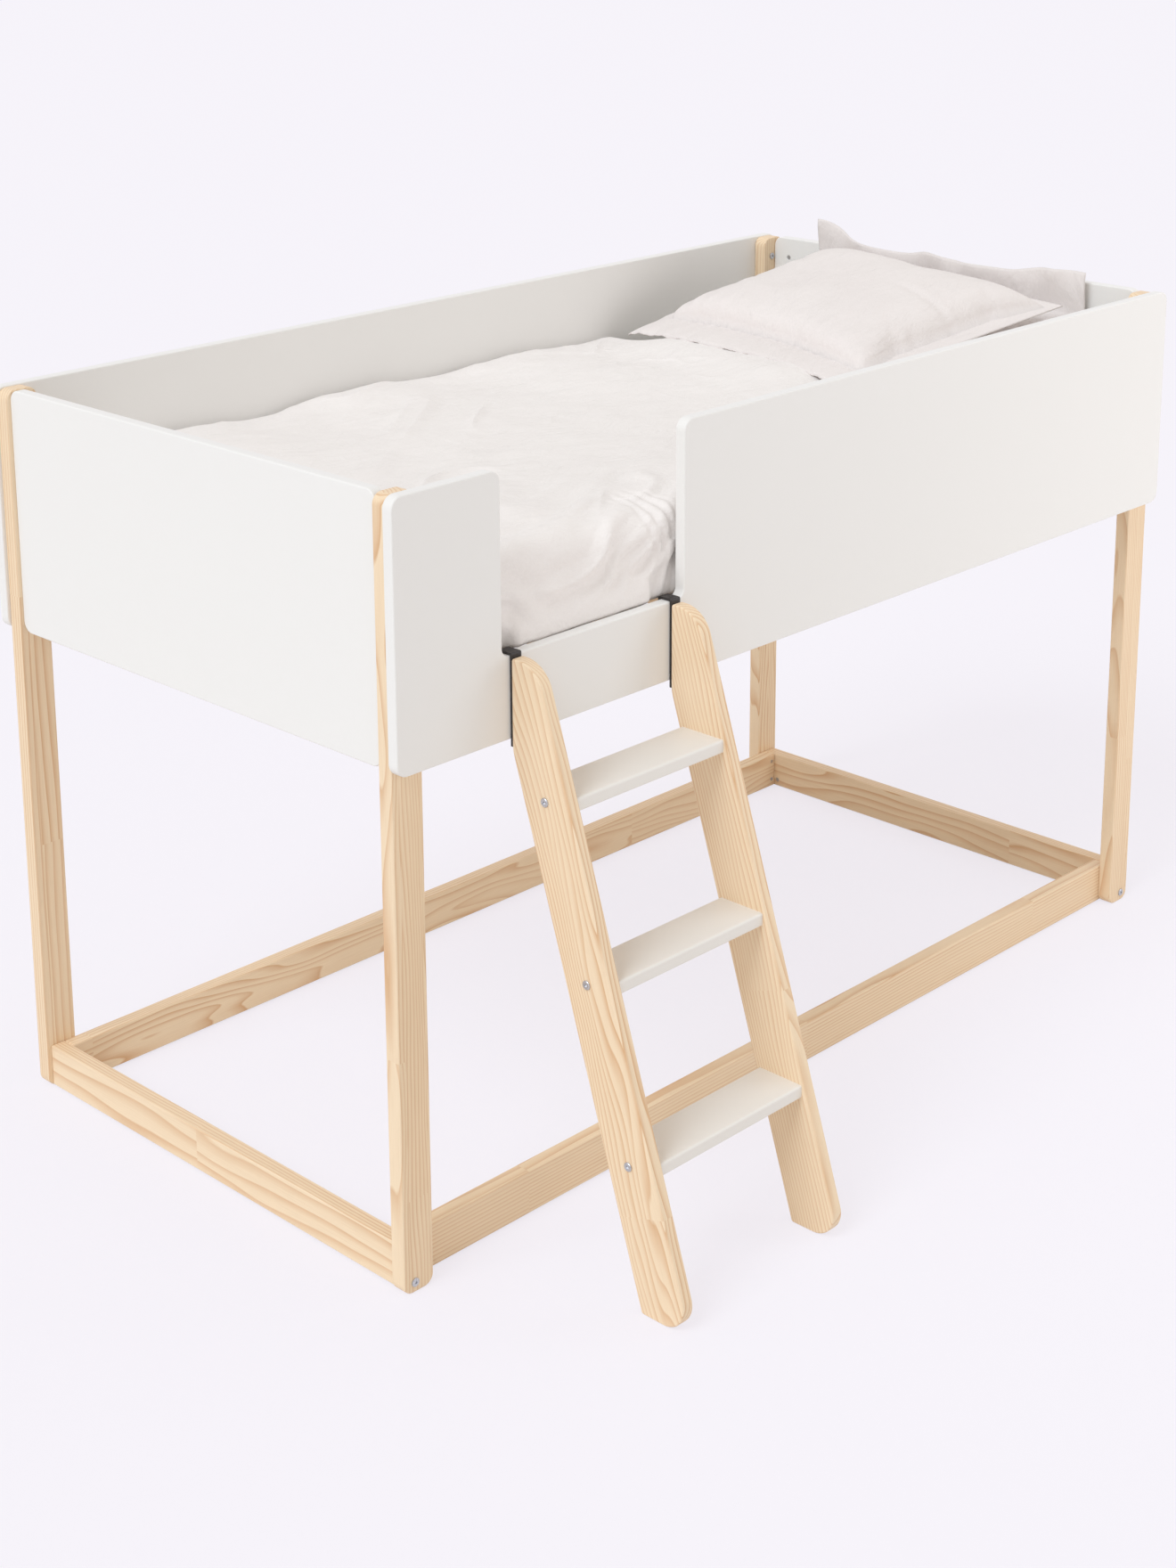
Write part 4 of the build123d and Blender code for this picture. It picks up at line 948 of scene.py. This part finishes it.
def under_path(U, toe, base, tip_z):
    """Its lower line: flat on the mattress, round the heel, and up the head panel."""
    heel = 1964.0
    knots = [0.0, 0.62, 0.70, 0.78, 1.0]
    xs = [toe, np.full(U.shape, heel - 42), np.full(U.shape, heel - 12), np.full(U.shape, heel),
          np.full(U.shape, heel - 4)]
    zs = [np.full(U.shape, base), np.full(U.shape, base), np.full(U.shape, base + 12),
          np.full(U.shape, base + 46), tip_z]
    return blend_knots(U, knots, xs, zs)


def blend_knots(U, knots, xs, zs):
    """Smooth (Catmull-Rom) blend of places given at knots along U."""
    points = np.stack([np.stack([a, b], -1) for a, b in zip(xs, zs)])
    result = np.zeros(U.shape + (2,))
    for k in range(len(knots) - 1):
        p0, p1, p2 = points[max(k - 1, 0)], points[k], points[k + 1]
        p3 = points[min(k + 2, len(knots) - 1)]
        t = np.clip((U - knots[k]) / (knots[k + 1] - knots[k]), 0, 1)[..., None]
        spot = 0.5 * (2 * p1 + (p2 - p0) * t + (2 * p0 - 5 * p1 + 4 * p2 - p3) * t ** 2
                      + (3 * p1 - p0 - 3 * p2 + p3) * t ** 3)
        inside = (U >= knots[k]) if k else np.ones(U.shape, bool)
        result = np.where(inside[..., None], spot, result)
    return result


mattress()
duvet()
bag_top, bag_bottom = blown_bag()
front_pillow(bag_top, bag_bottom)
back_pillow(bag_top, bag_bottom)


# Floor, light and camera

BACKDROP = srgb(247, 244, 252)


def seen_directly(t):
    """1 for what the camera sees, also in a gloss or through glass."""
    path = t.node("ShaderNodeLightPath")
    seen = t.math("MAXIMUM", path.outputs["Is Camera Ray"], path.outputs["Is Glossy Ray"])
    return t.math("MAXIMUM", seen, path.outputs["Is Transmission Ray"])


def floor():
    half = 40.0
    ground = mesh_object("floor", [(-half, -half, 0), (half, -half, 0), (half, half, 0),
                                   (-half, half, 0)], [(0, 1, 2, 3)], smooth=False)
    ground.location.z = -0.0005
    material = bpy.data.materials.new("floor_paper")
    material.use_nodes = True
    tree = material.node_tree
    tree.nodes.clear()
    t = Tree(tree)
    out = t.node("ShaderNodeOutputMaterial")
    matt = t.node("ShaderNodeBsdfDiffuse")
    matt.inputs["Color"].default_value = srgb(240, 238, 240)
    glow = t.node("ShaderNodeEmission")
    glow.inputs["Color"].default_value = BACKDROP
    glow.inputs["Strength"].default_value = 1.03
    both = t.node("ShaderNodeMixShader")
    t.link(t.math("MULTIPLY", seen_directly(t), 0.75), both.inputs[0])
    tree.links.new(matt.outputs[0], both.inputs[1])
    tree.links.new(glow.outputs[0], both.inputs[2])
    tree.links.new(both.outputs[0], out.inputs[0])
    ground.data.materials.append(material)


def world():
    made = bpy.data.worlds.new("studio")
    made.use_nodes = True
    bpy.context.scene.world = made
    tree = made.node_tree
    tree.nodes.clear()
    t = Tree(tree)
    out = t.node("ShaderNodeOutputWorld")
    soft = t.node("ShaderNodeBackground")
    soft.inputs["Color"].default_value = (1.0, 0.958, 0.908, 1)
    soft.inputs["Strength"].default_value = 0.68
    seen = t.node("ShaderNodeBackground")
    seen.inputs["Color"].default_value = BACKDROP
    seen.inputs["Strength"].default_value = 1.0
    both = t.node("ShaderNodeMixShader")
    t.link(seen_directly(t), both.inputs[0])
    tree.links.new(soft.outputs[0], both.inputs[1])
    tree.links.new(seen.outputs[0], both.inputs[2])
    tree.links.new(both.outputs[0], out.inputs[0])


def sun(name, strength, azimuth, elevation, spread, color=(1, 1, 1)):
    """A broad lamp, given by the side it shines from."""
    data = bpy.data.lights.new(name, "SUN")
    data.energy = strength
    data.angle = math.radians(spread)
    data.color = color
    lamp = bpy.data.objects.new(name, data)
    a, e = math.radians(azimuth), math.radians(elevation)
    source = Vector((math.sin(a) * math.cos(e), -math.cos(a) * math.cos(e), math.sin(e)))
    lamp.rotation_mode = "QUATERNION"
    lamp.rotation_quaternion = (-source).to_track_quat("-Z", "Y")
    bpy.context.scene.collection.objects.link(lamp)


def panel_light(name, place, aim, size, power):
    """A square lamp near the object, for the brighter right end of the front board."""
    data = bpy.data.lights.new(name, "AREA")
    data.shape = "SQUARE"
    data.size = size
    data.energy = power
    data.color = (1.0, 0.99, 0.98)
    lamp = bpy.data.objects.new(name, data)
    lamp.location = place
    lamp.rotation_mode = "QUATERNION"
    lamp.rotation_quaternion = (Vector(aim) - Vector(place)).to_track_quat("-Z", "Y")
    bpy.context.scene.collection.objects.link(lamp)


PHOTO_WIDTH, PHOTO_HEIGHT = 1320, 1760
SENSOR = 36.0


def camera():
    """Near the photograph's view: it keeps the part of the lens shift that the framing needs."""
    focal, centre_x, centre_y = 2873.18, 609.26, 493.0
    azimuth, elevation, roll = 0.7863, 0.2521, -0.0094
    look = Vector((math.sin(azimuth) * math.cos(elevation), math.cos(azimuth) * math.cos(elevation),
                   -math.sin(elevation)))
    side = look.cross(Vector((0, 0, 1))).normalized()
    up = side.cross(look)
    c, s = math.cos(roll), math.sin(roll)
    right, above = side * c + up * s, up * c - side * s
    data = bpy.data.cameras.new("camera")
    data.sensor_width = SENSOR
    data.lens = SENSOR * focal / PHOTO_HEIGHT
    data.shift_x = (PHOTO_WIDTH / 2 - centre_x) / PHOTO_HEIGHT
    data.shift_y = (centre_y - PHOTO_HEIGHT / 2) / PHOTO_HEIGHT
    data.clip_end = 200.0
    cam = bpy.data.objects.new("camera", data)
    cam.location = bed(-2263.5, -2557.9, 2222.6)
    cam.rotation_mode = "QUATERNION"
    cam.rotation_quaternion = Matrix((right, above, -look)).transposed().to_quaternion()
    bpy.context.scene.collection.objects.link(cam)
    bpy.context.scene.camera = cam


floor()
world()
sun("key_left", 1.34, 272, 47, 30, (0.86, 0.93, 1.0))
panel_light("head_end", (1.7, -2.2, 1.4), (1.0, -0.3, 1.0), 1.4, 11)
camera()
bpy.context.scene.view_settings.view_transform = "Standard"
